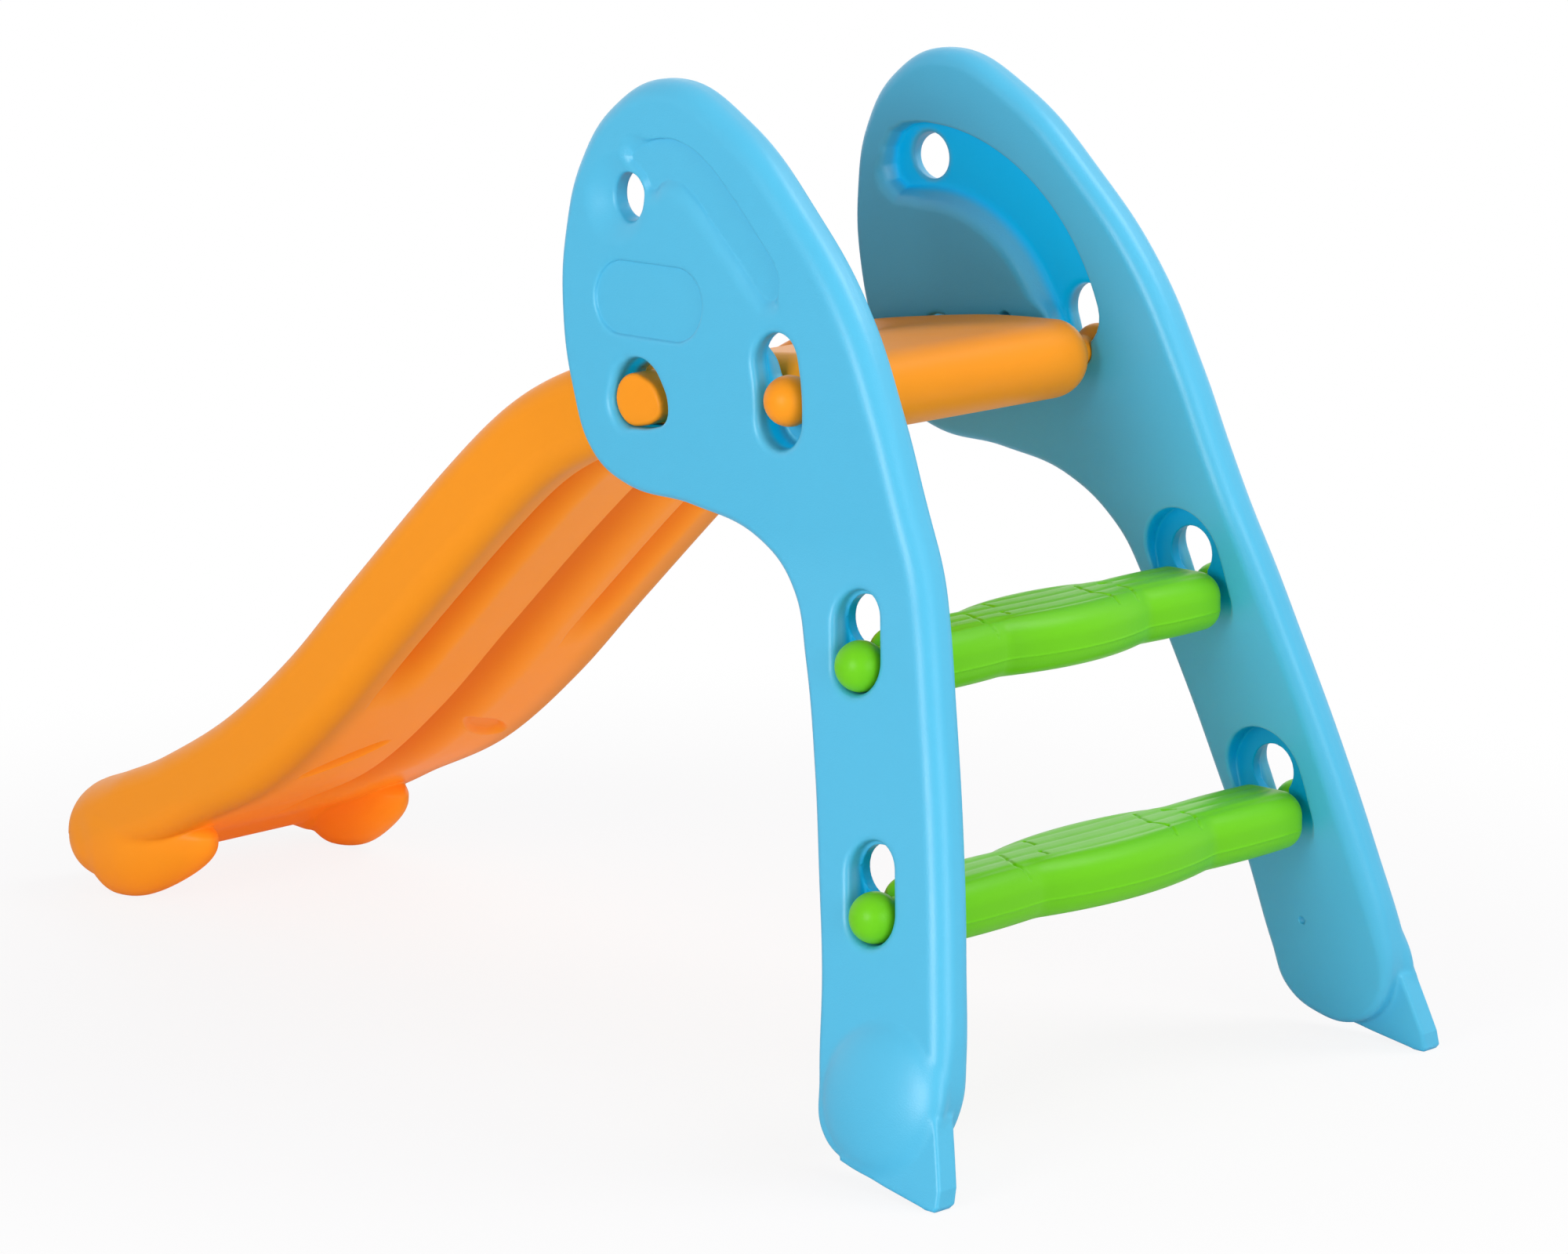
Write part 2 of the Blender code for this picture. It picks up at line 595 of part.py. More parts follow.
def chute_body(group, cutters):
    """Lofted chute; a row holds x, top, depth as a share, bed drop, groove, and width as a share."""
    rows = [
        (-0.2040, 0.4990, 0.231, 0.0000, 0.0000, 0.851),
        (-0.2085, 0.5090, 0.538, 0.0000, 0.0000, 0.909),
        (-0.2175, 0.5165, 0.769, 0.0000, 0.0000, 0.953),
        (-0.2335, 0.5200, 0.877, 0.0000, 0.0000, 0.985),
        (-0.2900, 0.5160, 0.877, 0.0010, 0.0000, 0.996),
        (-0.3600, 0.5075, 0.923, 0.0040, 0.0000, 1.000),
        (-0.4200, 0.4985, 0.969, 0.0120, 0.0000, 1.000),
        (-0.4770, 0.4850, 1.000, 0.0270, 0.0020, 1.024),
        (-0.5380, 0.4540, 1.000, 0.0400, 0.0080, 1.048),
        (-0.6060, 0.3990, 1.000, 0.0420, 0.0090, 1.060),
        (-0.7130, 0.3000, 1.000, 0.0420, 0.0090, 1.060),
        (-0.7870, 0.2300, 1.000, 0.0420, 0.0090, 1.060),
        (-0.8625, 0.1720, 1.000, 0.0420, 0.0080, 1.060),
        (-0.9400, 0.1290, 0.908, 0.0430, 0.0050, 1.056),
        (-0.9900, 0.1080, 0.985, 0.0450, 0.0020, 1.050),
        (-1.0280, 0.0960, 1.200, 0.0450, 0.0000, 1.038),
        (-1.0490, 0.0850, 1.170, 0.0400, 0.0000, 0.990),
        (-1.0670, 0.0690, 0.910, 0.0280, 0.0000, 0.900),
        (-1.0760, 0.0525, 0.500, 0.0100, 0.0000, 0.803),
    ]
    fine = catmull(rows, 2)
    rings = []
    for index, row in enumerate(fine):
        before = fine[max(0, index - 1)]
        after = fine[min(len(fine) - 1, index + 1)]
        along = Vector((after[0] - before[0], 0.0, after[1] - before[1])).normalized()
        if row[0] > -0.26 or row[0] < -1.0:
            along = Vector((-1.0, 0.0, 0.0))
        if -0.36 < row[0] <= -0.26 or -1.0 <= row[0] < -0.95:
            along = (along + Vector((-1.0, 0.0, 0.0))).normalized()
        down = Vector((along.z, 0.0, -along.x))
        if down.z > 0.0:
            down = -down
        depth = row[2] * CHUTE_DEPTH
        width = row[5] * CHUTE_HALF_WIDTH
        half = chute_section(width, depth, max(0.0, min(row[3], depth * 0.65)), RAIL_WIDTH, max(0.0, row[4]))
        origin = Vector((row[0], 0.0, row[1]))
        ring = [origin + Vector((0.0, y, 0.0)) + down * drop for y, drop in half]
        ring += [origin + Vector((0.0, -y, 0.0)) + down * drop for y, drop in reversed(half[1:-1])]
        rings.append(ring)
    chute = loft("chute_body", rings, group)

    for side in (-1.0, 1.0):
        tag = "right" if side < 0 else "left"
        bulb_mesh = bpy.data.meshes.new("bulb_" + tag)
        bulb_shape = bmesh.new()
        bmesh.ops.create_uvsphere(bulb_shape, u_segments=20, v_segments=12, radius=1.0)
        for vertex in bulb_shape.verts:
            vertex.co.x *= BULB_BACK if vertex.co.x > 0.0 else BULB_FRONT
            vertex.co.y *= BULB_HALF_WIDTH
            vertex.co.z *= BULB_TOP if vertex.co.z > 0.0 else BULB_HALF_HEIGHT
        bmesh.ops.translate(bulb_shape, vec=(BULB_X, side * BULB_Y, BULB_Z), verts=bulb_shape.verts)
        cut = bmesh.ops.bisect_plane(
            bulb_shape,
            geom=bulb_shape.verts[:] + bulb_shape.edges[:] + bulb_shape.faces[:],
            plane_co=(0.0, 0.0, 0.0),
            plane_no=(0.0, 0.0, 1.0),
            clear_inner=True,
        )
        edges = [item for item in cut["geom_cut"] if isinstance(item, bmesh.types.BMEdge)]
        bmesh.ops.edgenet_fill(bulb_shape, edges=edges)
        bmesh.ops.recalc_face_normals(bulb_shape, faces=bulb_shape.faces)
        bulb_shape.to_mesh(bulb_mesh)
        bulb_shape.free()
        bulb = add_object("bulb_" + tag, bulb_mesh, cutters, cutter=True)
        boolean(chute, bulb, "UNION", "add_bulb_" + tag)

        lug_outline = arc_points(LUG_X, LUG_Z, LUG_RADIUS, 62.0, 292.0, 18)
        for across, up in LUG_NOSE:
            lug_outline.append((LUG_X + across * LUG_RADIUS, LUG_Z + up * LUG_RADIUS))
        face = outer_y(LUG_Z) - LUG_SHORT_OF_FACE
        low_y, high_y = sorted((side * face, side * (CHUTE_HALF_WIDTH - POST_ROOT)))
        lug = prism("lug_" + tag, lug_outline, low_y, high_y, cutters)
        bevel_weights(lug, lambda point, end=face: 1.0 if abs(abs(point.y) - end) < 0.001 else 0.0)
        soft = lug.modifiers.new("edge", "BEVEL")
        soft.width = 0.0025
        soft.segments = 2
        soft.limit_method = "WEIGHT"
        boolean(chute, lug, "UNION", "add_lug_" + tag)

        ball_x, ball_z = rear_ball()
        post = ball_post("rear_ball_" + tag, ball_x, ball_z, side, rear_ball_y(), CHUTE_HALF_WIDTH - POST_ROOT, cutters)
        boolean(chute, post, "UNION", "add_ball_" + tag)
    return chute


def ball_post(name, x, z, side, ball_y, root_y, group):
    """Neck and ball turned in one profile about a line along Y."""
    neck_meets = math.sqrt(BALL_RADIUS ** 2 - NECK_RADIUS ** 2)
    profile = [(0.0, root_y), (NECK_RADIUS, root_y), (NECK_RADIUS, ball_y - neck_meets)]
    start = math.degrees(math.atan2(-neck_meets, NECK_RADIUS))
    rounds = 8
    for index in range(1, rounds):
        angle = math.radians(start + (90.0 - start) * index / rounds)
        profile.append((BALL_RADIUS * math.cos(angle), ball_y + BALL_RADIUS * math.sin(angle)))
    profile.append((0.0, ball_y + BALL_RADIUS))
    mesh = bpy.data.meshes.new(name)
    body = bmesh.new()
    verts = [body.verts.new((radius, distance, 0.0)) for radius, distance in profile]
    edges = [body.edges.new(pair) for pair in zip(verts, verts[1:])]
    bmesh.ops.spin(
        body,
        geom=verts + edges,
        cent=(0.0, 0.0, 0.0),
        axis=(0.0, 1.0, 0.0),
        angle=math.radians(360.0),
        steps=20,
        use_merge=True,
    )
    bmesh.ops.remove_doubles(body, verts=body.verts, dist=0.00002)
    bmesh.ops.scale(body, vec=(1.0, side, 1.0), verts=body.verts)
    bmesh.ops.translate(body, vec=(x, 0.0, z), verts=body.verts)
    bmesh.ops.recalc_face_normals(body, faces=body.faces)
    body.to_mesh(mesh)
    body.free()
    return add_object(name, mesh, group, cutter=True)


def step_section(half_width, half_height, corner):
    """Rounded section of a step in X and Z, flatter on top than below."""
    points = []
    for sx, sz, first in ((1.0, 1.0, 0.0), (-1.0, 1.0, 90.0), (-1.0, -1.0, 180.0), (1.0, -1.0, 270.0)):
        for index in range(4):
            angle = math.radians(first + 30.0 * index)
            points.append((sx * (half_width - corner) + corner * math.cos(angle),
                           sz * (half_height - corner) + corner * math.sin(angle)))
    return points


def step_body(name, x, z, group, cutters):
    """A step: wavy tread with rounded ends, and a ball on a neck at each end."""
    ball_y = step_ball_y(z)
    half_length = web_outer_y(ball_y) - STEP_WEB - STEP_END_GAP
    rings = []
    rounds = 4
    table = []
    for index in range(rounds):
        angle = math.radians(90.0 * index / rounds)
        out = half_length - STEP_END_ROUND + STEP_END_ROUND * math.cos(math.radians(8.0) + angle * 0.911)
        pull = STEP_END_ROUND * (1.0 - math.sin(math.radians(8.0) + angle * 0.911))
        table.append((out, pull))
    inner_count = 11
    inner_edge = half_length - STEP_END_ROUND
    for index in range(inner_count):
        table.append((inner_edge * (1.0 - 2.0 * index / (inner_count - 1)), 0.0))
    for out, pull in reversed(table[:rounds]):
        table.append((-out, pull))
    for y, pull in table:
        share = abs(y) / half_length
        if share < 0.43:
            swell = STEP_SWELL * (0.5 + 0.5 * math.cos(math.pi * share / 0.43))
        else:
            swell = STEP_END_SWELL * (0.5 - 0.5 * math.cos(2.0 * math.pi * (share - 0.43) / 0.57))
        half_width = STEP_END_HALF_WIDTH + swell - pull
        half_height = STEP_HALF_HEIGHT - pull * 0.62
        corner = min(0.0150, half_height * 0.8)
        section = step_section(half_width, half_height, corner)
        rings.append([Vector((x + across, y, z - STEP_BODY_DROP + up)) for across, up in section])
    step = loft(name + "_body", rings, group)
    for side in (-1.0, 1.0):
        tag = "_right" if side < 0 else "_left"
        post = ball_post(name + "_ball" + tag, x, z, side, ball_y, half_length - POST_ROOT, cutters)
        boolean(step, post, "UNION", "add_ball" + tag)
    return step


def finish(obj, name, material, holder, origin=(0.0, 0.0, 0.0)):
    """Clean the mesh, name it, and put its origin at the given point, on the axis that it moves about."""
    applied(obj)
    body = bmesh.new()
    body.from_mesh(obj.data)
    bmesh.ops.remove_doubles(body, verts=body.verts, dist=0.00002)
    bmesh.ops.dissolve_degenerate(body, edges=body.edges, dist=0.00002)
    body.to_mesh(obj.data)
    body.free()
    obj.name = name
    obj.data.name = name
    obj.data.materials.clear()
    obj.data.materials.append(material)
    obj.parent = holder
    obj.data.transform(Matrix.Translation((-origin[0], -origin[1], -origin[2])))
    obj.location = origin
    shade(obj)
    return obj


def build():
    clear_scene()
    slide = new_collection("kids_slide", False)
    cutters = new_collection("cutters", True)
    holder = bpy.data.objects.new("slide_middle", None)
    holder.location = (MIDDLE_X, 0.0, 0.0)
    slide.objects.link(holder)
    blue = plastic("panel_plastic", BLUE)
    orange = plastic("chute_plastic", ORANGE)
    green = plastic("step_plastic", GREEN)

    panel = panel_body(slide, cutters)
    cut_panel(panel, cutters)
    applied(panel)
    bend_panel(panel)
    left = finish(panel, "side_panel_left", blue, holder)
    right = add_object("side_panel_right", mirrored(left.data, "side_panel_right"), slide)
    right.parent = holder
    shade(right)

    chute = chute_body(slide, cutters)
    finish(chute, "chute", orange, holder, (LUG_X, 0.0, LUG_Z))
    upper = step_body("upper_step", UPPER_STEP_X, UPPER_STEP_Z, slide, cutters)
    finish(upper, "upper_step", green, holder, (UPPER_STEP_X, 0.0, UPPER_STEP_Z))
    lower = step_body("lower_step", LOWER_STEP_X, LOWER_STEP_Z, slide, cutters)
    finish(lower, "lower_step", green, holder, (LOWER_STEP_X, 0.0, LOWER_STEP_Z))
    bpy.context.view_layer.update()


build()
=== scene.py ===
"""Kids slide: moulded panels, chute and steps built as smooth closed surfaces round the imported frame."""

import math

import bmesh
import bpy
import numpy as np
from mathutils import Matrix, Vector


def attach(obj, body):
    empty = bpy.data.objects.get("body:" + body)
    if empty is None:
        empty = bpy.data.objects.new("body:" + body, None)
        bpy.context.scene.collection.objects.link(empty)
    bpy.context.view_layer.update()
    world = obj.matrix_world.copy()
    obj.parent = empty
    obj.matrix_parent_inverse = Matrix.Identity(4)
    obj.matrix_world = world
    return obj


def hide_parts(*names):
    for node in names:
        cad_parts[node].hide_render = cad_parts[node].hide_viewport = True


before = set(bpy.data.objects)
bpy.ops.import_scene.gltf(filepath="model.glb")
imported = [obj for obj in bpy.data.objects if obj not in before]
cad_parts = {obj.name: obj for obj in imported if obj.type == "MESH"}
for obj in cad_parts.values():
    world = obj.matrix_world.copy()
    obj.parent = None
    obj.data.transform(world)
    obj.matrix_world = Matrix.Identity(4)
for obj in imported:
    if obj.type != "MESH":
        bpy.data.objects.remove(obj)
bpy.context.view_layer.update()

# Layout in metres. X is counted from the tip of the rear feet and MIDDLE_X is added at the end.
MIDDLE_X = 0.5355
PANEL_THICKNESS = 0.0320
BEND_Z = 0.3926
BEND_HALF_SPREAD = 0.1590
BEND_SOFTNESS = 0.0180
LEG_SPLAY = math.tan(math.radians(12.98))
TOP_LEAN = math.tan(math.radians(3.55))
WIDE_RIM = 0.0145
SMALL_RIM = 0.0062
LUG_X = -0.3733
LUG_Z = 0.4787
LUG_RADIUS = 0.0187
LUG_SHORT_OF_FACE = 0.0040
HAND_HOLE_X = -0.3821
HAND_HOLE_Z = 0.6197
HAND_HOLE_RADIUS = 0.0170
TRACK_DEPTH = 0.0150
TRACK_HALF_WIDTH = 0.0225
BALL_RADIUS = 0.0175
NECK_RADIUS = 0.0105
SLOT_RADIUS = 0.0110
MOUTH_RADIUS = 0.0185
POCKET_RADIUS = 0.0200
INNER_POCKET_RADIUS = 0.0322
STEP_WEB = 0.0080
BALL_WEB_GAP = 0.0003
STEP_BALL_INSET = 0.0060
REAR_BALL_INSET = 0.0115
REAR_BALL_ARM = 0.1428
REAR_BALL_DEG = 6.0
REAR_MOUTH_DEG = 16.7
STEP_SEATS = {"upper": (-0.1400, 0.3290), "lower": (-0.0925, 0.1722)}
STEP_TRAVEL = 0.0280
STEP_TILT = math.radians(13.0)
STEP_DROP = 0.0018
STEP_HALF_HEIGHT = 0.0206
STEP_BODY_SHIFT = 0.0030
HALF = PANEL_THICKNESS / 2.0

# Small shapes of the panel: places in x and z, and depths from its faces.
PIT_X = -0.3020
PIT_Z = 0.5085
PIT_RADIUS = 0.0060
PIN_X = -0.0825
PIN_Z = 0.0884
PIN_RADIUS = 0.0030
DOME_X = -0.0600
DOME_Z = 0.0625
DOME_SIZE = (0.0525, 0.0179, 0.0505)
DOME_INSET = 0.0062
TONGUE_INSET = 0.0095
TONGUE_HALF = 0.0093
DISH_X = HAND_HOLE_X - 0.0125
DISH_Z = HAND_HOLE_Z - 0.0040
DISH_HEIGHT = 0.0415
DISH_RADIUS = 0.0480
BANANA_DEPTH = 0.0042
PLATE_ENDS = ((-0.3860, 0.5490), (-0.3330, 0.5490))
PLATE_RADIUS = 0.0252
PLATE_DEPTH = 0.0022

# Exit of the chute: centre and size of its nose, and centre of the foot below it.
NOSE_X = -1.0412
NOSE_SIDE = 0.1070
NOSE_Z = 0.0450
NOSE_SIZE = (0.0312, 0.0310, 0.0355)
FOOT_X = -1.0180
FOOT_Z = 0.0580


def soft_min(a, b, k):
    blend = np.maximum(k - np.abs(a - b), 0.0) / k
    return np.minimum(a, b) - blend * blend * k * 0.25


def soft_max(a, b, k):
    return -soft_min(-a, -b, k)


def ramp(low, high, value):
    share = np.clip((value - low) / (high - low), 0.0, 1.0)
    return share * share * (3.0 - 2.0 * share)


def to_segment(x, z, a, b):
    """Distance from points to the segment between a and b."""
    dx = b[0] - a[0]
    dz = b[1] - a[1]
    share = np.clip(((x - a[0]) * dx + (z - a[1]) * dz) / (dx * dx + dz * dz), 0.0, 1.0)
    return np.hypot(x - a[0] - share * dx, z - a[1] - share * dz)


def to_polygon(x, z, points):
    """Signed distance to a closed polygon, negative inside."""
    inside = np.zeros(x.shape, bool)
    best = np.full(x.shape, 1e9)
    for a, b in zip(points, points[1:] + points[:1]):
        dx = b[0] - a[0]
        dz = b[1] - a[1]
        share = np.clip(((x - a[0]) * dx + (z - a[1]) * dz) / (dx * dx + dz * dz), 0.0, 1.0)
        best = np.minimum(best, (x - a[0] - share * dx) ** 2 + (z - a[1] - share * dz) ** 2)
        if a[1] != b[1]:
            inside ^= ((a[1] > z) != (b[1] > z)) & (x < dx * (z - a[1]) / dz + a[0])
    distance = np.sqrt(best)
    return np.where(inside, -distance, distance)


def round_join(first, second, radius):
    """Intersection of two regions with a rounded edge between them."""
    a = first + radius
    b = second + radius
    return np.minimum(np.maximum(a, b), 0.0) + np.hypot(np.maximum(a, 0.0), np.maximum(b, 0.0)) - radius


def ellipsoid(dx, dy, dz, rx, ry, rz):
    near = np.sqrt((dx / rx) ** 2 + (dy / ry) ** 2 + (dz / rz) ** 2)
    far = np.sqrt((dx / rx ** 2) ** 2 + (dy / ry ** 2) ** 2 + (dz / rz ** 2) ** 2)
    return near * (near - 1.0) / np.maximum(far, 1e-6)


def smooth_outline(knots, resolution):
    """Points along a smooth closed curve through the knots, counterclockwise from +X towards +Z."""
    curve = bpy.data.curves.new("outline", "CURVE")
    curve.dimensions = "2D"
    curve.fill_mode = "NONE"
    spline = curve.splines.new("BEZIER")
    spline.bezier_points.add(len(knots) - 1)
    for knot, (x, z) in zip(spline.bezier_points, knots):
        knot.co = (x, z, 0.0)
        knot.handle_left_type = "AUTO"
        knot.handle_right_type = "AUTO"
    spline.use_cyclic_u = True
    spline.resolution_u = resolution
    curve.resolution_u = resolution
    holder = bpy.data.objects.new("outline", curve)
    bpy.context.scene.collection.objects.link(holder)
    bpy.context.view_layer.update()
    mesh = bpy.data.meshes.new_from_object(holder.evaluated_get(bpy.context.evaluated_depsgraph_get()))
    points = [(vertex.co.x, vertex.co.y) for vertex in mesh.vertices]
    bpy.data.objects.remove(holder, do_unlink=True)
    bpy.data.curves.remove(curve)
    bpy.data.meshes.remove(mesh)
    return points


class Sheet:
    """A field over two directions, sampled once on a grid and then read between its points."""

    def __init__(self, function, low, high, step):
        self.low = low
        self.step = step
        xs = np.arange(low[0], high[0] + step, step)
        zs = np.arange(low[1], high[1] + step, step)
        grid_x, grid_z = np.meshgrid(xs, zs, indexing="ij")
        self.values = function(grid_x, grid_z)

    def __call__(self, x, z):
        u = np.clip((x - self.low[0]) / self.step, 0.0, self.values.shape[0] - 1.001)
        v = np.clip((z - self.low[1]) / self.step, 0.0, self.values.shape[1] - 1.001)
        i = u.astype(int)
        j = v.astype(int)
        u = u - i
        v = v - j
        grid = self.values
        low = grid[i, j] * (1.0 - u) + grid[i + 1, j] * u
        high = grid[i, j + 1] * (1.0 - u) + grid[i + 1, j + 1] * u
        return low * (1.0 - v) + high * v


def surface_net(values, low, step):
    """Closed quad surface of the zero level: one point in each cell that the surface crosses."""
    inside = values < 0.0
    cells = np.zeros([size - 1 for size in values.shape], np.int8)
    corners = [(a, b, c) for a in (0, 1) for b in (0, 1) for c in (0, 1)]
    nx, ny, nz = values.shape
    for a, b, c in corners:
        cells += inside[a:nx - 1 + a, b:ny - 1 + b, c:nz - 1 + c]
    active = (cells > 0) & (cells < 8)
    places = np.argwhere(active)
    number = np.full(active.shape, -1)
    number[active] = np.arange(len(places))
    total = np.zeros((len(places), 3))
    count = np.zeros(len(places))
    for first in corners:
        for axis in range(3):
            if first[axis]:
                continue
            second = tuple(value + (index == axis) for index, value in enumerate(first))
            va = values[places[:, 0] + first[0], places[:, 1] + first[1], places[:, 2] + first[2]]
            vb = values[places[:, 0] + second[0], places[:, 1] + second[1], places[:, 2] + second[2]]
            crossed = (va < 0.0) != (vb < 0.0)
            share = np.where(crossed, va / np.where(crossed, va - vb, 1.0), 0.0)
            spot = np.array(first, float)[None, :].repeat(len(places), 0)
            spot[:, axis] += share
            total += spot * crossed[:, None]
            count += crossed
    points = (places + total / count[:, None]) * step + np.array(low)
    quads = []
    for axis in range(3):
        others = [(axis + 1) % 3, (axis + 2) % 3]
        ahead = np.roll(inside, -1, axis)
        change = inside != ahead
        limit = [slice(None)] * 3
        limit[axis] = slice(0, values.shape[axis] - 1)
        spots = np.argwhere(change[tuple(limit)])
        keep = np.ones(len(spots), bool)
        for other in others:
            keep &= (spots[:, other] > 0) & (spots[:, other] < values.shape[other] - 1)
        spots = spots[keep]
        ring = []
        for du, dv in ((1, 1), (0, 1), (0, 0), (1, 0)):
            cell = spots.copy()
            cell[:, others[0]] -= du
            cell[:, others[1]] -= dv
            ring.append(number[cell[:, 0], cell[:, 1], cell[:, 2]])
        quad = np.stack(ring, 1)
        outward = inside[spots[:, 0], spots[:, 1], spots[:, 2]]
        quad[~outward] = quad[~outward][:, ::-1]
        quads.append(quad)
    return points, np.concatenate(quads)


def slope(field, points, reach):
    """Gradient of the field at the points."""
    result = np.zeros(points.shape)
    for axis in range(3):
        shift = np.zeros(3)
        shift[axis] = reach
        ahead = points + shift
        behind = points - shift
        result[:, axis] = (field(*ahead.T) - field(*behind.T)) / (2.0 * reach)
    return result


def settle(field, points, step, rounds=3):
    """Move the points onto the surface along its normals."""
    for _ in range(rounds):
        value = field(*points.T)
        gradient = slope(field, points, 0.0003)
        steep = np.maximum((gradient ** 2).sum(1), 0.05)
        move = np.clip(value / steep, -step, step)[:, None] * gradient
        points = points - move
    return points


def unit(vectors):
    return vectors / np.maximum(np.linalg.norm(vectors, axis=1), 1e-9)[:, None]


def moulded(name, field, warp, low, high, step, refine=2, finest=0.0010, hot=None, painted_shade=None):
    """Closed smooth mesh of a field's zero level, refined where it turns quickly and placed by warp."""
    axes = [np.arange(low[i], high[i] + step, step) for i in range(3)]
    grid = np.meshgrid(*axes, indexing="ij")
    points, quads = surface_net(field(*grid), low, step)
    pairs = np.concatenate([quads[:, [0, 1]], quads[:, [1, 2]], quads[:, [2, 3]], quads[:, [3, 0]]])
    for _ in range(3):
        total = np.zeros(points.shape)
        np.add.at(total, pairs[:, 0], points[pairs[:, 1]])
        share = np.bincount(pairs[:, 0], minlength=len(points))[:, None]
        points = settle(field, points * 0.4 + 0.6 * total / share, step * 0.5, 1)
    points = settle(field, points, step * 0.5, 2)
    mesh = bpy.data.meshes.new(name)
    mesh.from_pydata(points.tolist(), [], quads.tolist())
    for _ in range(refine):
        body = bmesh.new()
        body.from_mesh(mesh)
        body.edges.ensure_lookup_table()
        points = np.array([vertex.co[:] for vertex in body.verts])
        edges = np.array([[edge.verts[0].index, edge.verts[1].index] for edge in body.edges])
        normals = unit(slope(field, points, 0.0003))
        middle = (points[edges[:, 0]] + points[edges[:, 1]]) / 2.0
        long = np.linalg.norm(points[edges[:, 0]] - points[edges[:, 1]], axis=1) > finest
        turn = (normals[edges[:, 0]] * normals[edges[:, 1]]).sum(1) < math.cos(math.radians(13.0))
        off = np.abs(field(*middle.T)) > 0.00005
        wanted = long & (turn | off)
        if hot is not None:
            wanted |= hot(middle)
        chosen = [body.edges[index] for index in np.nonzero(wanted)[0]]
        bmesh.ops.subdivide_edges(body, edges=chosen, cuts=1, use_grid_fill=True)
        points = np.array([vertex.co[:] for vertex in body.verts])
        points = settle(field, points, step * 0.3, 2)
        for vertex, place in zip(body.verts, points.tolist()):
            vertex.co = place
        body.to_mesh(mesh)
        body.free()
    points = np.zeros(len(mesh.vertices) * 3)
    mesh.vertices.foreach_get("co", points)
    points = points.reshape(-1, 3)
    # Shares of the painted shade and the painted emission, stored on the mesh for its material.
    if painted_shade is not None:
        for label, values in zip(("painted_shade", "painted_glow"), painted_shade(points)):
            layer = mesh.attributes.new(label, "FLOAT", "POINT")
            layer.data.foreach_set("value", values)
    gradient = slope(field, points, 0.0004)
    jacobian = np.zeros((len(points), 3, 3))
    for axis in range(3):
        shift = np.zeros(3)
        shift[axis] = 0.0005
        jacobian[:, :, axis] = (warp(points + shift) - warp(points - shift)) / 0.001
    normals = unit(np.linalg.solve(np.transpose(jacobian, (0, 2, 1)), gradient[:, :, None])[:, :, 0])
    mesh.vertices.foreach_set("co", warp(points).ravel())
    mesh.update()
    return mesh, normals


def finish_piece(name, mesh, normals, material, body, node, mirror=False):
    """Object from a moulded mesh, which stands for one node of the frame."""
    normals = normals.copy()
    if mirror:
        mesh.transform(Matrix.Scale(-1.0, 4, (0.0, 1.0, 0.0)))
        mesh.flip_normals()
        normals[:, 1] *= -1.0
    mesh.transform(Matrix.Translation((MIDDLE_X, 0.0, 0.0)))
    mesh.shade_smooth()
    mesh.normals_split_custom_set_from_vertices(normals.tolist())
    mesh.materials.append(material)
    obj = bpy.data.objects.new(name, mesh)
    bpy.context.scene.collection.objects.link(obj)
    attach(obj, body)
    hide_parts(node)


def middle_y(z):
    """Distance of the panel's middle surface from the centre plane."""
    below = BEND_Z - z
    share = (np.clip(below, -BEND_SOFTNESS, BEND_SOFTNESS) + BEND_SOFTNESS) / (2.0 * BEND_SOFTNESS)
    bend = 2.0 * BEND_SOFTNESS * (TOP_LEAN * share + (LEG_SPLAY - TOP_LEAN) * share * share / 2.0)
    result = BEND_HALF_SPREAD - BEND_SOFTNESS * TOP_LEAN + bend
    result = result + np.maximum(below - BEND_SOFTNESS, 0.0) * LEG_SPLAY
    return result + np.minimum(below + BEND_SOFTNESS, 0.0) * TOP_LEAN


def panel_warp(points):
    placed = points.copy()
    placed[:, 1] += middle_y(points[:, 2])
    return placed


def web_faces(ball_y):
    """World distances of the outer and inner faces of the web that a ball has snapped through."""
    outer = ball_y - math.sqrt(BALL_RADIUS ** 2 - SLOT_RADIUS ** 2) - BALL_WEB_GAP
    return outer, outer - STEP_WEB


def along_tilt(x, z, distance):
    return x - math.sin(STEP_TILT) * distance, z + math.cos(STEP_TILT) * distance


def on_arm(angle_deg):
    """Place of a point at the rear ball's arm about the lug's axis."""
    angle = math.radians(angle_deg)
    return LUG_X + REAR_BALL_ARM * math.cos(angle), LUG_Z + REAR_BALL_ARM * math.sin(angle)


def to_arc(x, z, low_deg, high_deg):
    """Distance to an arc about the lug's axis, at the rear ball's arm."""
    angle = np.degrees(np.arctan2(z - LUG_Z, x - LUG_X))
    on = (angle > low_deg) & (angle < high_deg)
    ring = np.abs(np.hypot(x - LUG_X, z - LUG_Z) - REAR_BALL_ARM)
    low = on_arm(low_deg)
    high = on_arm(high_deg)
    ends = np.minimum(np.hypot(x - low[0], z - low[1]), np.hypot(x - high[0], z - high[1]))
    return np.where(on, ring, ends)


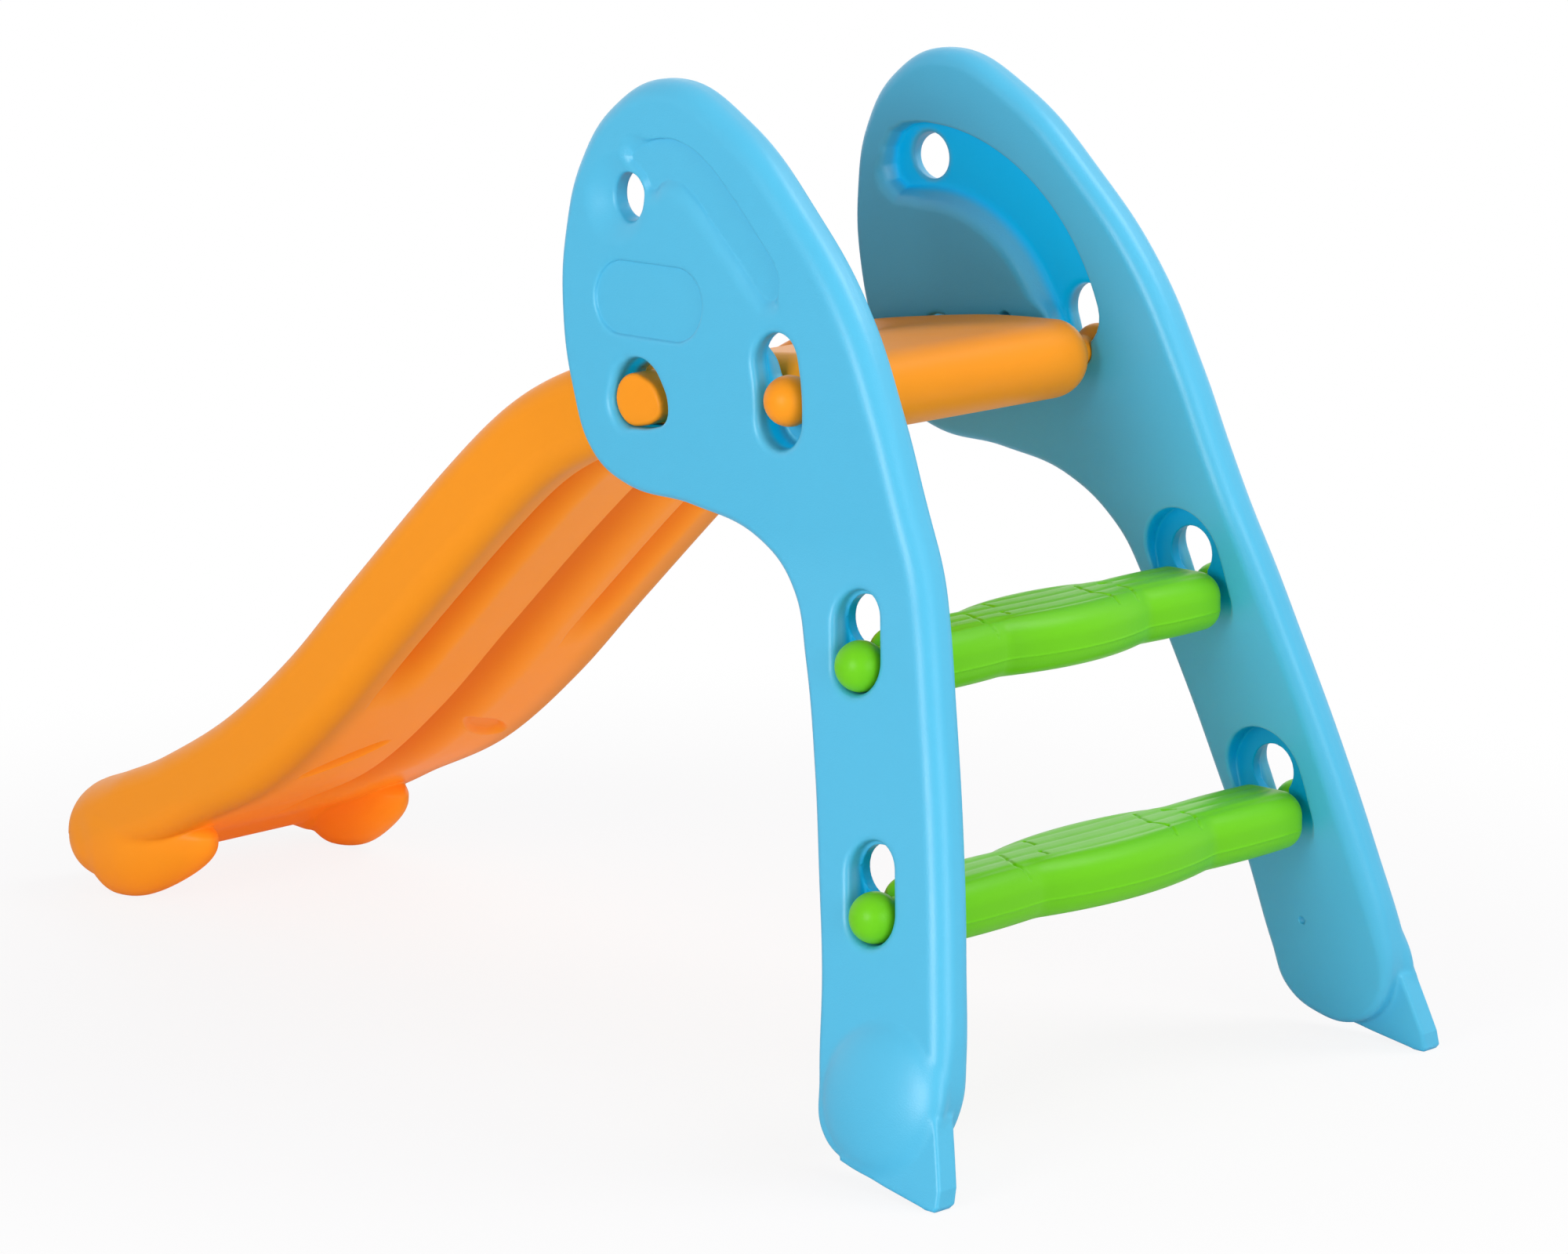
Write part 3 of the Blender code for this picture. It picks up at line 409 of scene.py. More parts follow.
PANEL_KNOTS = [
    (-0.3580, 0.7000), (-0.2910, 0.6765), (-0.2230, 0.6195), (-0.1735, 0.5620), (-0.1355, 0.4900),
    (-0.1150, 0.4412), (-0.0890, 0.3800), (-0.0640, 0.3030), (-0.0410, 0.2250), (-0.0220, 0.1480),
    (-0.0105, 0.0900), (-0.0105, 0.0580), (-0.0240, 0.0310), (-0.0500, 0.0145), (-0.0800, 0.0145),
    (-0.1080, 0.0310), (-0.1175, 0.0640), (-0.1300, 0.1310), (-0.1455, 0.1900), (-0.1650, 0.2600),
    (-0.1885, 0.3280), (-0.2080, 0.3690), (-0.2470, 0.3990), (-0.3110, 0.4135), (-0.3800, 0.4205),
    (-0.4120, 0.4390), (-0.4340, 0.4820), (-0.4462, 0.5335), (-0.4465, 0.5905), (-0.4362, 0.6390),
    (-0.4080, 0.6790),
]
TONGUE_KNOTS = [
    (-0.0860, 0.0160), (-0.0440, 0.0070), (-0.0100, 0.0010), (-0.0060, 0.0), (0.0020, 0.0),
    (0.0050, 0.0030), (0.0045, 0.0140), (-0.0010, 0.0330), (-0.0080, 0.0560), (-0.0320, 0.0800),
    (-0.0720, 0.0600),
]
BANANA_KNOTS = [
    (-0.3830, 0.6460), (-0.3700, 0.6555), (-0.3520, 0.6610), (-0.3300, 0.6590), (-0.3080, 0.6485),
    (-0.2830, 0.6280), (-0.2580, 0.6040), (-0.2400, 0.5850), (-0.2350, 0.5740), (-0.2385, 0.5640),
    (-0.2460, 0.5600), (-0.2560, 0.5655), (-0.2770, 0.5850), (-0.3000, 0.6055), (-0.3240, 0.6260),
    (-0.3380, 0.6325), (-0.3520, 0.6310), (-0.3610, 0.6250), (-0.3670, 0.6330), (-0.3760, 0.6400),
]
# The lug's hole in the panel, in radii about the lug's axis.
LUG_HOLE_RADIUS = 0.0192
LUG_HOLE_KNOTS = [
    (1.21, -0.84), (1.79, -0.56), (1.89, 0.02), (1.53, 0.80), (0.98, 1.37), (0.17, 1.58),
    (-0.66, 1.11), (-0.966, 0.26), (-0.985, -0.17), (-0.77, -0.64), (-0.34, -0.94), (0.26, -0.966),
]
PANEL_LOW = (-0.4600, -0.0150)
PANEL_HIGH = (0.0200, 0.7150)


def outline_sheet(points, low, high, step):
    """Signed distance to a closed outline, sampled on a grid."""
    return Sheet(lambda x, z: to_polygon(x, z, points), low, high, step)


def about_lug(knots, radius):
    return [(LUG_X + x * radius, LUG_Z + z * radius) for x, z in knots]


panel_sheet = outline_sheet(smooth_outline(PANEL_KNOTS, 10), PANEL_LOW, PANEL_HIGH, 0.00125)
banana_sheet = outline_sheet(smooth_outline(BANANA_KNOTS, 4), (-0.4300, 0.5200), (-0.1900, 0.7000), 0.0010)
lug_hole_outline = smooth_outline(about_lug(LUG_HOLE_KNOTS, LUG_HOLE_RADIUS), 4)


def arc(radius, start_deg, end_deg, count):
    """Points on an arc about the lug."""
    angles = [math.radians(start_deg + (end_deg - start_deg) * index / count) for index in range(count + 1)]
    return [(LUG_X + radius * math.cos(angle), LUG_Z + radius * math.sin(angle)) for angle in angles]


TRACK_BLUNT_END = [
    (-0.3950, 0.6415), (-0.4065, 0.6350), (-0.4135, 0.6240), (-0.4150, 0.6110), (-0.4120, 0.6010),
    (-0.4040, 0.5955),
]


def track_outline():
    """Floor of the crescent track: two arcs about the lug, round at the mouth and blunt by the hand hole."""
    points = arc(REAR_BALL_ARM + TRACK_HALF_WIDTH, REAR_MOUTH_DEG, 93.0, 22)
    points += TRACK_BLUNT_END
    points += arc(REAR_BALL_ARM - TRACK_HALF_WIDTH, 98.0, REAR_MOUTH_DEG, 20)
    mouth_x, mouth_z = on_arm(REAR_MOUTH_DEG)
    for index in range(1, 12):
        angle = math.radians(REAR_MOUTH_DEG + 180.0 + 15.0 * index)
        across = TRACK_HALF_WIDTH * math.cos(angle)
        up = TRACK_HALF_WIDTH * math.sin(angle)
        points.append((mouth_x + across, mouth_z + up))
    return points


track_sheet = outline_sheet(track_outline(), (-0.4500, 0.4300), (-0.1700, 0.6800), 0.0010)


def rim_width(x, z):
    """Width of the rounding of the outer rim: wide along the back and the top."""
    front = x < -0.30
    curved = (z < 0.43) & (x < -0.045 - 0.27 * z)
    share = np.where(front, ramp(0.56, 0.69, z), np.where(curved, 0.0, ramp(0.03, 0.12, z)))
    return SMALL_RIM + (WIDE_RIM - SMALL_RIM) * share


rim_sheet = Sheet(rim_width, PANEL_LOW, PANEL_HIGH, 0.0060)


def near_box(x, z, low_x, high_x, low_z, high_z):
    return (x > low_x) & (x < high_x) & (z > low_z) & (z < high_z)


def cut_seat(body, x, t, z, seat):
    """Outer pocket, inner pocket and keyhole for one ball of a step."""
    outer_face, inner_face = web_faces(middle_y(seat[1]) + HALF - STEP_BALL_INSET)
    top = along_tilt(seat[0], seat[1], STEP_TRAVEL)
    middle = middle_y(z)
    pocket = to_segment(x, z, (seat[0], seat[1] + 0.0018), (top[0], top[1] + 0.0020)) - POCKET_RADIUS
    pocket = soft_max(pocket, outer_face - middle - t, 0.0030)
    body = soft_max(body, -pocket, 0.0060)
    swell = ramp(seat[1], top[1], z) * 0.0012
    inner = to_segment(x, z, (seat[0], seat[1] - 0.0050), top) - INNER_POCKET_RADIUS - swell
    inner = soft_max(inner, t - (inner_face - middle), 0.0018)
    body = soft_max(body, -inner, 0.0026)
    mouth = np.hypot(x - top[0], z - top[1]) - MOUTH_RADIUS
    slot = to_segment(x, z, seat, top) - SLOT_RADIUS
    return soft_max(body, -soft_min(mouth, slot, 0.0020), 0.0010)


def cut_rear_seat(body, x, t, z):
    """Outer pocket and keyhole for the platform's rear ball."""
    ball_x, ball_z = on_arm(REAR_BALL_DEG)
    outer_face, _ = web_faces(middle_y(ball_z) + HALF - REAR_BALL_INSET)
    pocket = to_arc(x, z, REAR_BALL_DEG - 4.8, REAR_MOUTH_DEG) - POCKET_RADIUS
    pocket = soft_max(pocket, outer_face - middle_y(z) - t, 0.0030)
    body = soft_max(body, -pocket, 0.0060)
    mouth_x, mouth_z = on_arm(REAR_MOUTH_DEG)
    mouth = np.hypot(x - mouth_x, z - mouth_z) - MOUTH_RADIUS
    slot = to_arc(x, z, REAR_BALL_DEG, REAR_MOUTH_DEG) - SLOT_RADIUS
    return soft_max(body, -soft_min(mouth, slot, 0.0008), 0.0014)


def cut_track(body, x, t, z):
    """Crescent track on the inner face: steep outer wall, long soft ramp on the inner side."""
    radius = np.hypot(x - LUG_X, z - LUG_Z)
    angle = np.degrees(np.arctan2(z - LUG_Z, x - LUG_X))
    depth = t + HALF
    inner = 1.0 - ramp(0.1330, 0.1500, radius)
    lean = 0.12 + 0.78 * inner * ramp(16.0, 30.0, angle) * (1.0 - 0.55 * ramp(93.0, 106.0, angle))
    wall = (track_sheet(x, z) - lean * (TRACK_DEPTH - depth)) / np.sqrt(1.0 + lean * lean)
    track = soft_max(wall, depth - TRACK_DEPTH, 0.0024)
    return soft_max(body, -track, 0.0022 + 0.0022 * inner + 0.0030 * ramp(93.0, 106.0, angle))


def cut_outer_face(body, x, t, z):
    """Shallow shapes moulded into the outer face: a banana-shaped pressing and a bare plate."""
    height = t - HALF
    side = (x + 0.300) * -0.585 + (z - 0.613) * -0.811
    low = ramp(-0.004, 0.010, side)
    lean = 1.2 * low
    banana = (banana_sheet(x, z) - lean * (height + BANANA_DEPTH)) / np.sqrt(1.0 + lean * lean)
    bay = soft_max(banana, -BANANA_DEPTH - height, 0.0005)
    body = soft_max(body, -bay, 0.0015 + 0.0030 * low)
    plate = to_segment(x, z, *PLATE_ENDS) - PLATE_RADIUS
    plate = soft_max(plate, -PLATE_DEPTH - height, 0.0004)
    return soft_max(body, -plate, 0.0034)


def from_hand_hole(x, t, z):
    """Distance from the slanted axis of the hand hole."""
    return np.hypot(x - HAND_HOLE_X + 0.20 * t, z - HAND_HOLE_Z + 0.16 * t)


def panel_field(x, t, z):
    """Signed distance to a panel at x and z, with t counted outward from its middle surface."""
    distance = panel_sheet(x, z)
    rim_out = rim_sheet(x, z)
    rim_in = SMALL_RIM + 0.80 * (rim_out - SMALL_RIM)
    body = round_join(distance, np.abs(t) - HALF, np.where(t > 0.0, rim_out, rim_in))

    near = near_box(x, z, -0.1300, 0.0200, -0.0200, 0.1350)
    if near.any():
        px, pt, pz = x[near], t[near], z[near]
        dome = ellipsoid(px - DOME_X, pt - HALF + DOME_INSET, pz - DOME_Z, *DOME_SIZE)
        part = soft_min(body[near], dome, 0.0025)
        flat = to_polygon(px, pz, TONGUE_KNOTS)
        tongue = round_join(flat, np.abs(pt - HALF + TONGUE_INSET) - TONGUE_HALF, 0.0028)
        part = soft_min(part, tongue, 0.0035)
        pin = np.sqrt((px - PIN_X) ** 2 + (pt + HALF) ** 2 + (pz - PIN_Z) ** 2) - PIN_RADIUS
        body[near] = soft_max(part, -pin, 0.0004)

    for seat in STEP_SEATS.values():
        near = near_box(x, z, seat[0] - 0.060, seat[0] + 0.055, seat[1] - 0.055, seat[1] + 0.085)
        if near.any():
            body[near] = cut_seat(body[near], x[near], t[near], z[near], seat)

    near = near_box(x, z, -0.4450, -0.1700, 0.4300, 0.7000)
    if near.any():
        px, pt, pz = x[near], t[near], z[near]
        part = cut_track(body[near], px, pt, pz)
        part = cut_rear_seat(part, px, pt, pz)
        part = cut_outer_face(part, px, pt, pz)
        reach = np.hypot(px - DISH_X, pz - DISH_Z)
        dish = np.hypot(reach, pt - HALF - DISH_HEIGHT) - DISH_RADIUS
        part = soft_max(part, -dish, 0.0050)
        part = soft_max(part, HAND_HOLE_RADIUS - from_hand_hole(px, pt, pz), 0.0026)
        lug = to_polygon(px, pz, lug_hole_outline)
        soft = 0.0032 + 0.0045 * ramp(0.006, -0.014, px - LUG_X)
        taper = 0.0034 * ramp(0.0170, 0.0250, pz - LUG_Z) * ramp(0.0040, -0.0120, pt)
        part = soft_max(part, -lug - taper, np.where(pt > 0.0, soft, 0.0030))
        pit = np.sqrt((px - PIT_X) ** 2 + (0.7 * (pt + HALF)) ** 2 + (pz - PIT_Z) ** 2) - PIT_RADIUS
        body[near] = soft_max(part, -pit, 0.0015)
    return body


def panel_painted_shade(points):
    """Shares of the painted recess shade and of a painted emission that lights the recesses: both grow below
    the faces, the emission only above the legs.
    """
    x, t, z = points.T
    # Painted shade: a deeper, more saturated blue that grows with depth below either face.
    deep = ramp(0.0080, 0.0146, HALF - np.abs(t))
    for seat in STEP_SEATS.values():
        top = along_tilt(seat[0], seat[1], STEP_TRAVEL)
        inside = (to_segment(x, z, seat, top) < INNER_POCKET_RADIUS + 0.0020) & (t < 0.0)
        deep = np.where(inside, ramp(0.0006, 0.0036, HALF + t), deep)
    # The hand hole's wall gets no painted shade and no painted emission.
    deep = deep * ramp(0.0170, 0.0215, from_hand_hole(x, t, z))
    deep = deep * ramp(-0.010, -0.018, panel_sheet(x, z))
    # The first share is the painted shade, the second the painted emission, only above the legs.
    return deep, deep * ramp(0.36, 0.42, z)


def pin_hole(points):
    """Points round the tiny hole in the inner face, where the mesh is refined further."""
    away = np.hypot(points[:, 0] - PIN_X, points[:, 2] - PIN_Z)
    return (away < 1.5 * PIN_RADIUS) & (points[:, 1] < 0.0)


# Strength of the painted emission that lights recesses and the chute's underside; it is no lamp.
PAINTED_GLOW_LEVEL = 0.38


def noise(tree, scale, detail=3.0):
    node = tree.nodes.new("ShaderNodeTexNoise")
    node.inputs["Scale"].default_value = scale
    node.inputs["Detail"].default_value = detail
    coords = tree.nodes.new("ShaderNodeTexCoord")
    tree.links.new(coords.outputs["Object"], node.inputs["Vector"])
    return node


def spread(tree, source, low, high):
    node = tree.nodes.new("ShaderNodeMapRange")
    node.inputs["To Min"].default_value = low
    node.inputs["To Max"].default_value = high
    tree.links.new(source, node.inputs["Value"])
    return node.outputs["Result"]


def plastic(name, colour, deep, roughness, grain, grain_scale, painted_recess_colour, painted_glow, gloss_level):
    """Moulded polyethylene: slight colour drift, a fine grain and uneven gloss, with painted shade in recesses
    (a recess colour and weaker reflection) and a painted emission in recesses and under the chute bed.
    """
    material = bpy.data.materials.new(name)
    material.use_nodes = True
    tree = material.node_tree
    shader = tree.nodes["Principled BSDF"]
    mix = tree.nodes.new("ShaderNodeMix")
    mix.data_type = "RGBA"
    mix.inputs["A"].default_value = (*colour, 1.0)
    mix.inputs["B"].default_value = (*deep, 1.0)
    cloud = noise(tree, 7.0, 2.0)
    tree.links.new(spread(tree, cloud.outputs["Fac"], 0.0, 0.6), mix.inputs["Factor"])
    # Painted shade: the recess colour is mixed into the base colour by the share stored on the mesh.
    painted_shade = tree.nodes.new("ShaderNodeAttribute")
    painted_shade.attribute_name = "painted_shade"
    painted_recess_mix = tree.nodes.new("ShaderNodeMix")
    painted_recess_mix.data_type = "RGBA"
    painted_recess_mix.inputs["B"].default_value = (*painted_recess_colour, 1.0)
    tree.links.new(painted_shade.outputs["Fac"], painted_recess_mix.inputs["Factor"])
    tree.links.new(mix.outputs["Result"], painted_recess_mix.inputs["A"])
    tree.links.new(painted_recess_mix.outputs["Result"], shader.inputs["Base Color"])
    gloss = noise(tree, 45.0, 4.0)
    rough = spread(tree, gloss.outputs["Fac"], roughness - 0.05, roughness + 0.05)
    tree.links.new(rough, shader.inputs["Roughness"])
    fine = noise(tree, grain_scale, 2.0)
    wave = noise(tree, 60.0, 2.0)
    sum_node = tree.nodes.new("ShaderNodeMath")
    sum_node.operation = "MULTIPLY_ADD"
    sum_node.inputs[1].default_value = 1.2
    tree.links.new(wave.outputs["Fac"], sum_node.inputs[0])
    tree.links.new(fine.outputs["Fac"], sum_node.inputs[2])
    bump = tree.nodes.new("ShaderNodeBump")
    bump.inputs["Strength"].default_value = 0.35
    bump.inputs["Distance"].default_value = grain
    tree.links.new(sum_node.outputs["Value"], bump.inputs["Height"])
    tree.links.new(bump.outputs["Normal"], shader.inputs["Normal"])
    # Painted glow: emission by the share stored on the mesh, standing in for light in recesses and under the
    # chute bed.
    through = tree.nodes.new("ShaderNodeMath")
    through.operation = "MULTIPLY"
    through.inputs[1].default_value = PAINTED_GLOW_LEVEL
    painted_glow_attribute = tree.nodes.new("ShaderNodeAttribute")
    painted_glow_attribute.attribute_name = "painted_glow"
    tree.links.new(painted_glow_attribute.outputs["Fac"], through.inputs[0])
    shader.inputs["Emission Color"].default_value = (*painted_glow, 1.0)
    tree.links.new(through.outputs["Value"], shader.inputs["Emission Strength"])
    shader.inputs["IOR"].default_value = 1.50
    # Painted shade on the reflection: the specular level falls to 0.3 of itself in recesses.
    gloss_with_painted_shade = spread(tree, painted_shade.outputs["Fac"], gloss_level, gloss_level * 0.3)
    tree.links.new(gloss_with_painted_shade, shader.inputs["Specular IOR Level"])
    return material


# In each plastic the colour after the grain scale is the painted recess shade and the next is the painted
# emission's colour.
blue = plastic("blue_polyethylene", (0.075, 0.510, 0.755), (0.062, 0.490, 0.745), 0.37, 0.00030, 900.0,
               (0.0, 0.430, 0.780), (0.0, 0.34, 0.60), 0.50)
orange = plastic("orange_polyethylene", (0.980, 0.345, 0.012), (0.965, 0.325, 0.010), 0.40, 0.00020, 700.0,
                 (0.820, 0.170, 0.006), (0.56, 0.13, 0.012), 0.18)
green = plastic("green_polyethylene", (0.165, 0.640, 0.010), (0.145, 0.610, 0.008), 0.36, 0.00025, 700.0,
                (0.120, 0.550, 0.010), (0.1, 0.4, 0.0), 0.17)


def build_panels():
    low = (-0.4520, -0.0200, -0.0060)
    high = (0.0120, 0.0340, 0.7040)
    step = 0.0026
    refine = 2
    mesh, normals = moulded("panel_skin", panel_field, panel_warp, low, high, step, refine, hot=pin_hole,
                            painted_shade=panel_painted_shade)
    other = mesh.copy()
    finish_piece("left_panel_skin", mesh, normals, blue, "frame", "side_panel_left")
    finish_piece("right_panel_skin", other, normals, blue, "frame", "side_panel_right",
                 mirror=True)


# Chute stations: x, height of the rail tops, depth, drop of the bed below the rail tops, half width.
CHUTE_ROWS = [
    (-0.2040, 0.5203, 0.0573, 0.0000, 0.1330),
    (-0.2335, 0.5203, 0.0573, 0.0000, 0.1330),
    (-0.2900, 0.5160, 0.0575, 0.0010, 0.1340),
    (-0.3600, 0.5075, 0.0600, 0.0040, 0.1345),
    (-0.4200, 0.4985, 0.0630, 0.0120, 0.1345),
    (-0.4770, 0.4850, 0.0650, 0.0270, 0.1377),
    (-0.5380, 0.4540, 0.0650, 0.0400, 0.1410),
    (-0.6060, 0.3990, 0.0650, 0.0420, 0.1426),
    (-0.7130, 0.3000, 0.0650, 0.0420, 0.1426),
    (-0.7870, 0.2300, 0.0650, 0.0420, 0.1426),
    (-0.8625, 0.1720, 0.0650, 0.0420, 0.1426),
    (-0.9400, 0.1290, 0.0590, 0.0400, 0.1420),
    (-0.9900, 0.1080, 0.0640, 0.0420, 0.1412),
    (-1.0260, 0.0960, 0.0735, 0.0420, 0.1392),
    (-1.0490, 0.0850, 0.0680, 0.0380, 0.1355),
    (-1.0715, 0.0680, 0.0530, 0.0280, 0.1310),
]


def smooth_rows(rows, pieces):
    """Catmull-Rom spline through rows of numbers."""
    table = np.array(rows)
    padded = np.concatenate([table[:1], table, table[-1:]])
    result = []
    for index in range(len(table) - 1):
        a, b, c, d = padded[index:index + 4]
        for piece in range(pieces):
            t = piece / pieces
            result.append(0.5 * (2 * b + (c - a) * t + (2 * a - 5 * b + 4 * c - d) * t * t
                                 + (3 * b - a - 3 * c + d) * t ** 3))
    result.append(table[-1])
    return np.array(result)


chute_rows = smooth_rows(CHUTE_ROWS, 16)
chute_steps = np.hypot(np.diff(chute_rows[:, 0]), np.diff(chute_rows[:, 1]))
chute_run = np.concatenate([[0.0], np.cumsum(chute_steps)])
CHUTE_LENGTH = float(chute_run[-1])
tangent = np.gradient(chute_rows[:, :2], chute_run, axis=0)
upright = np.maximum(ramp(-0.36, -0.26, chute_rows[:, 0]), ramp(-0.95, -1.00, chute_rows[:, 0]))
tangent = tangent * (1.0 - upright)[:, None] + np.array([[-1.0, 0.0]]) * upright[:, None]
tangent = unit(tangent)
chute_down = np.stack([-tangent[:, 1], tangent[:, 0]], 1)


def along_chute(s, column):
    inner = np.clip(s, 0.0, CHUTE_LENGTH)
    return np.interp(inner, chute_run, column)


def chute_place(s, h):
    """World x and z of a point at run s and distance h below the rail tops."""
    over = s - np.clip(s, 0.0, CHUTE_LENGTH)
    x = along_chute(s, chute_rows[:, 0]) + along_chute(s, chute_down[:, 0]) * h - over
    z = along_chute(s, chute_rows[:, 1]) + along_chute(s, chute_down[:, 1]) * h
    return x, z


def chute_warp(points):
    x, z = chute_place(points[:, 0], points[:, 2])
    return np.stack([x, points[:, 1], z], 1)


# The lug from the side, in radii about its axis.
LUG_SIDE_KNOTS = [
    (-0.34, 0.94), (-0.77, 0.64), (-0.985, 0.17), (-0.966, -0.26), (-0.70, -0.71), (-0.26, -0.966),
    (0.37, -0.93), (1.02, -0.70), (1.33, -0.42), (1.38, -0.10), (1.24, 0.30), (0.95, 0.66),
    (0.47, 0.88), (0.08, 0.99),
]
lug_outline = smooth_outline(about_lug(LUG_SIDE_KNOTS, LUG_RADIUS), 3)


def groove(s, y, low, high, start, end, depth):
    """One long groove in the underside: a crisp wall on its low side, fading out to the other."""
    rise = ramp(low, low + 0.0034, y)
    fall = 1.0 - ramp(low + 0.30 * (high - low), high, y)
    ends = ramp(start, start + 0.040, s) * (1.0 - ramp(end - 0.060, end, s))
    return depth * rise * fall * ends


def leaf(s, y, at_s, at_y, turn, depth):
    """A leaf-shaped dimple."""
    du = (s - at_s) * math.cos(turn) + (y - at_y) * math.sin(turn)
    dv = -(s - at_s) * math.sin(turn) + (y - at_y) * math.cos(turn)
    shape = 1.0 - (du / 0.0105) ** 2 - (dv / 0.040) ** 2
    return depth * ramp(0.0, 0.6, shape)


def grooves_cut(s, y):
    """Depth of the three long grooves and two leaf dimples under the bed."""
    cut = groove(s, y, -0.1080, -0.0600, 0.28, 0.665, 0.0150)
    cut = cut + groove(s, y, -0.0140, 0.0560, 0.34, 0.90, 0.0150)
    cut = cut + groove(s, y, 0.0660, 0.1060, 0.36, 0.63, 0.0110)
    return cut + leaf(s, y, 0.742, -0.0700, 0.50, 0.0050) + leaf(s, y, 0.738, 0.0740, -0.50, 0.0050)


def chute_field(s, y, h):
    """Field of the chute at run s, side y and distance h below the rail tops."""
    depth = along_chute(s, chute_rows[:, 2])
    bed = along_chute(s, chute_rows[:, 3])
    width = along_chute(s, chute_rows[:, 4])
    rear = 1.0 - ramp(0.02, 0.13, s)
    top_round = 0.0180 * (1.0 - rear) + 0.0284 * rear
    low_round = np.minimum(0.0210, depth * 0.5) * (1.0 - rear) + 0.0284 * rear
    side = np.abs(y)
    centre = depth / 2.0
    radius = np.where(h < centre, top_round, low_round)
    exit_side = ramp(CHUTE_LENGTH - 0.10, CHUTE_LENGTH - 0.05, s)
    radius = radius * (1.0 - exit_side) + np.where(h < centre, 0.0260, 0.0290) * exit_side
    q_side = side - width + radius
    q_up = np.abs(h - centre) - centre + radius
    q_end = np.maximum(-s, s - CHUTE_LENGTH) + radius
    reach = np.sqrt(np.maximum(q_side, 0.0) ** 2 + np.maximum(q_up, 0.0) ** 2 + np.maximum(q_end, 0.0) ** 2)
    body = reach - radius + np.minimum(np.maximum(np.maximum(q_side, q_up), q_end), 0.0)

    low_side = h > centre
    run = CHUTE_LENGTH
    body = body + np.where(low_side, grooves_cut(s, y) * ramp(0.5, 0.75, h / depth), 0.0)

    inner = 0.1080 - 0.0050 * ramp(run - 0.12, run, s)
    trough = soft_max(side - inner - 0.12 * np.maximum(bed - h, 0.0), h - bed, 0.0180)
    body = soft_max(body, -trough, 0.0110)

    x, z = chute_place(s, h)
    nose = ellipsoid(x - NOSE_X, side - NOSE_SIDE, z - NOSE_Z, *NOSE_SIZE)
    body = soft_min(body, soft_max(nose, -trough, 0.0080), 0.0060)
    behind = x > FOOT_X
    middle = 0.1125 - 0.0130 * ramp(-1.0000, -0.9200, x)
    long = np.where(behind, 0.0985 * (1.0 - 0.20 * ramp(0.0540, 0.0050, z)), 0.0400)
    tall = np.where(z > FOOT_Z, 0.0220, 0.0576)
    foot = ellipsoid(x - FOOT_X, side - middle, z - FOOT_Z, long, 0.0285, tall)
    foot = soft_max(foot, 0.0004 - z, 0.0010)
    body = soft_min(body, soft_max(foot, -trough - 0.004, 0.0020), 0.0030)

    near = (np.abs(x - LUG_X) < 0.05) & (np.abs(z - LUG_Z) < 0.05) & (side > 0.11)
    if near.any():
        end = middle_y(LUG_Z) + HALF - LUG_SHORT_OF_FACE
        flat = to_polygon(x[near], z[near], lug_outline)
        lug = round_join(flat, np.abs(side[near] - end + 0.04) - 0.04, 0.0030)
        body[near] = soft_min(body[near], lug, 0.0030)
    ball_x, ball_z = on_arm(REAR_BALL_DEG)
    near = (np.abs(x - ball_x) < 0.035) & (np.abs(z - ball_z) < 0.035) & (side > 0.11)
    if near.any():
        ball_y = middle_y(ball_z) + HALF - REAR_BALL_INSET
        away = np.hypot(x[near] - ball_x, z[near] - ball_z)
        ball = np.sqrt(away ** 2 + (side[near] - ball_y) ** 2) - BALL_RADIUS
        neck = np.maximum(away - NECK_RADIUS, side[near] - ball_y)
        body[near] = soft_min(body[near], soft_min(ball, neck, 0.0010), 0.0012)
    return body


def underside(points):
    """Shares of the painted shade in the grooves and of a painted emission that brightens the underside of the
    bed and the feet, seen from below.
    """
    s, y, h = points.T
    low = ramp(0.55, 0.85, h / along_chute(s, chute_rows[:, 2]))
    inner = 1.0 - ramp(0.095, 0.125, np.abs(y))
    bulbs = 0.25 * ramp(CHUTE_LENGTH - 0.20, CHUTE_LENGTH - 0.14, s)
    # Painted shade: the recess colour fills the grooves by their depth.
    grooves = np.clip(grooves_cut(s, y) / 0.0150, 0.0, 1.0)
    # Painted emission under the bed and on the feet, weaker in the grooves and none near the rear end.
    painted_glow = low * np.maximum(inner * (1.0 - 0.35 * grooves), bulbs) * ramp(0.10, 0.20, s)
    return low * inner * grooves, painted_glow


def build_chute():
    low = (-0.0300, -0.1850, -0.0120)
    high = (CHUTE_LENGTH + 0.0120, 0.1850, 0.1140)
    step = 0.0032
    refine = 2
    mesh, normals = moulded("chute_skin", chute_field, chute_warp, low, high, step, refine, painted_shade=underside)
    finish_piece("chute_skin", mesh, normals, orange, "slide", "chute")


# Short strokes on a tread, from one end to the other: x, and y as a share of half its length.
TWIGS = [
    ((-0.015, 0.280), (0.004, 0.236)), ((0.004, 0.236), (0.020, 0.250)), ((0.020, 0.250), (0.032, 0.225)),
    ((0.004, 0.427), (0.017, 0.413)), ((0.017, 0.413), (0.028, 0.380)), ((-0.010, 0.400), (-0.005, 0.440)),
    ((-0.006, -0.480), (0.016, -0.535)), ((0.016, -0.535), (0.028, -0.520)),
    ((-0.020, -0.275), (-0.010, -0.285)), ((0.006, -0.340), (0.014, -0.352)),
]
TREAD_GROOVES = (-0.0190, -0.0070, 0.0060, 0.0190)
STEP_END_HALF_WIDTH = 0.0290
STEP_END_ROUND = 0.0190
STEP_END_GAP = 0.0022


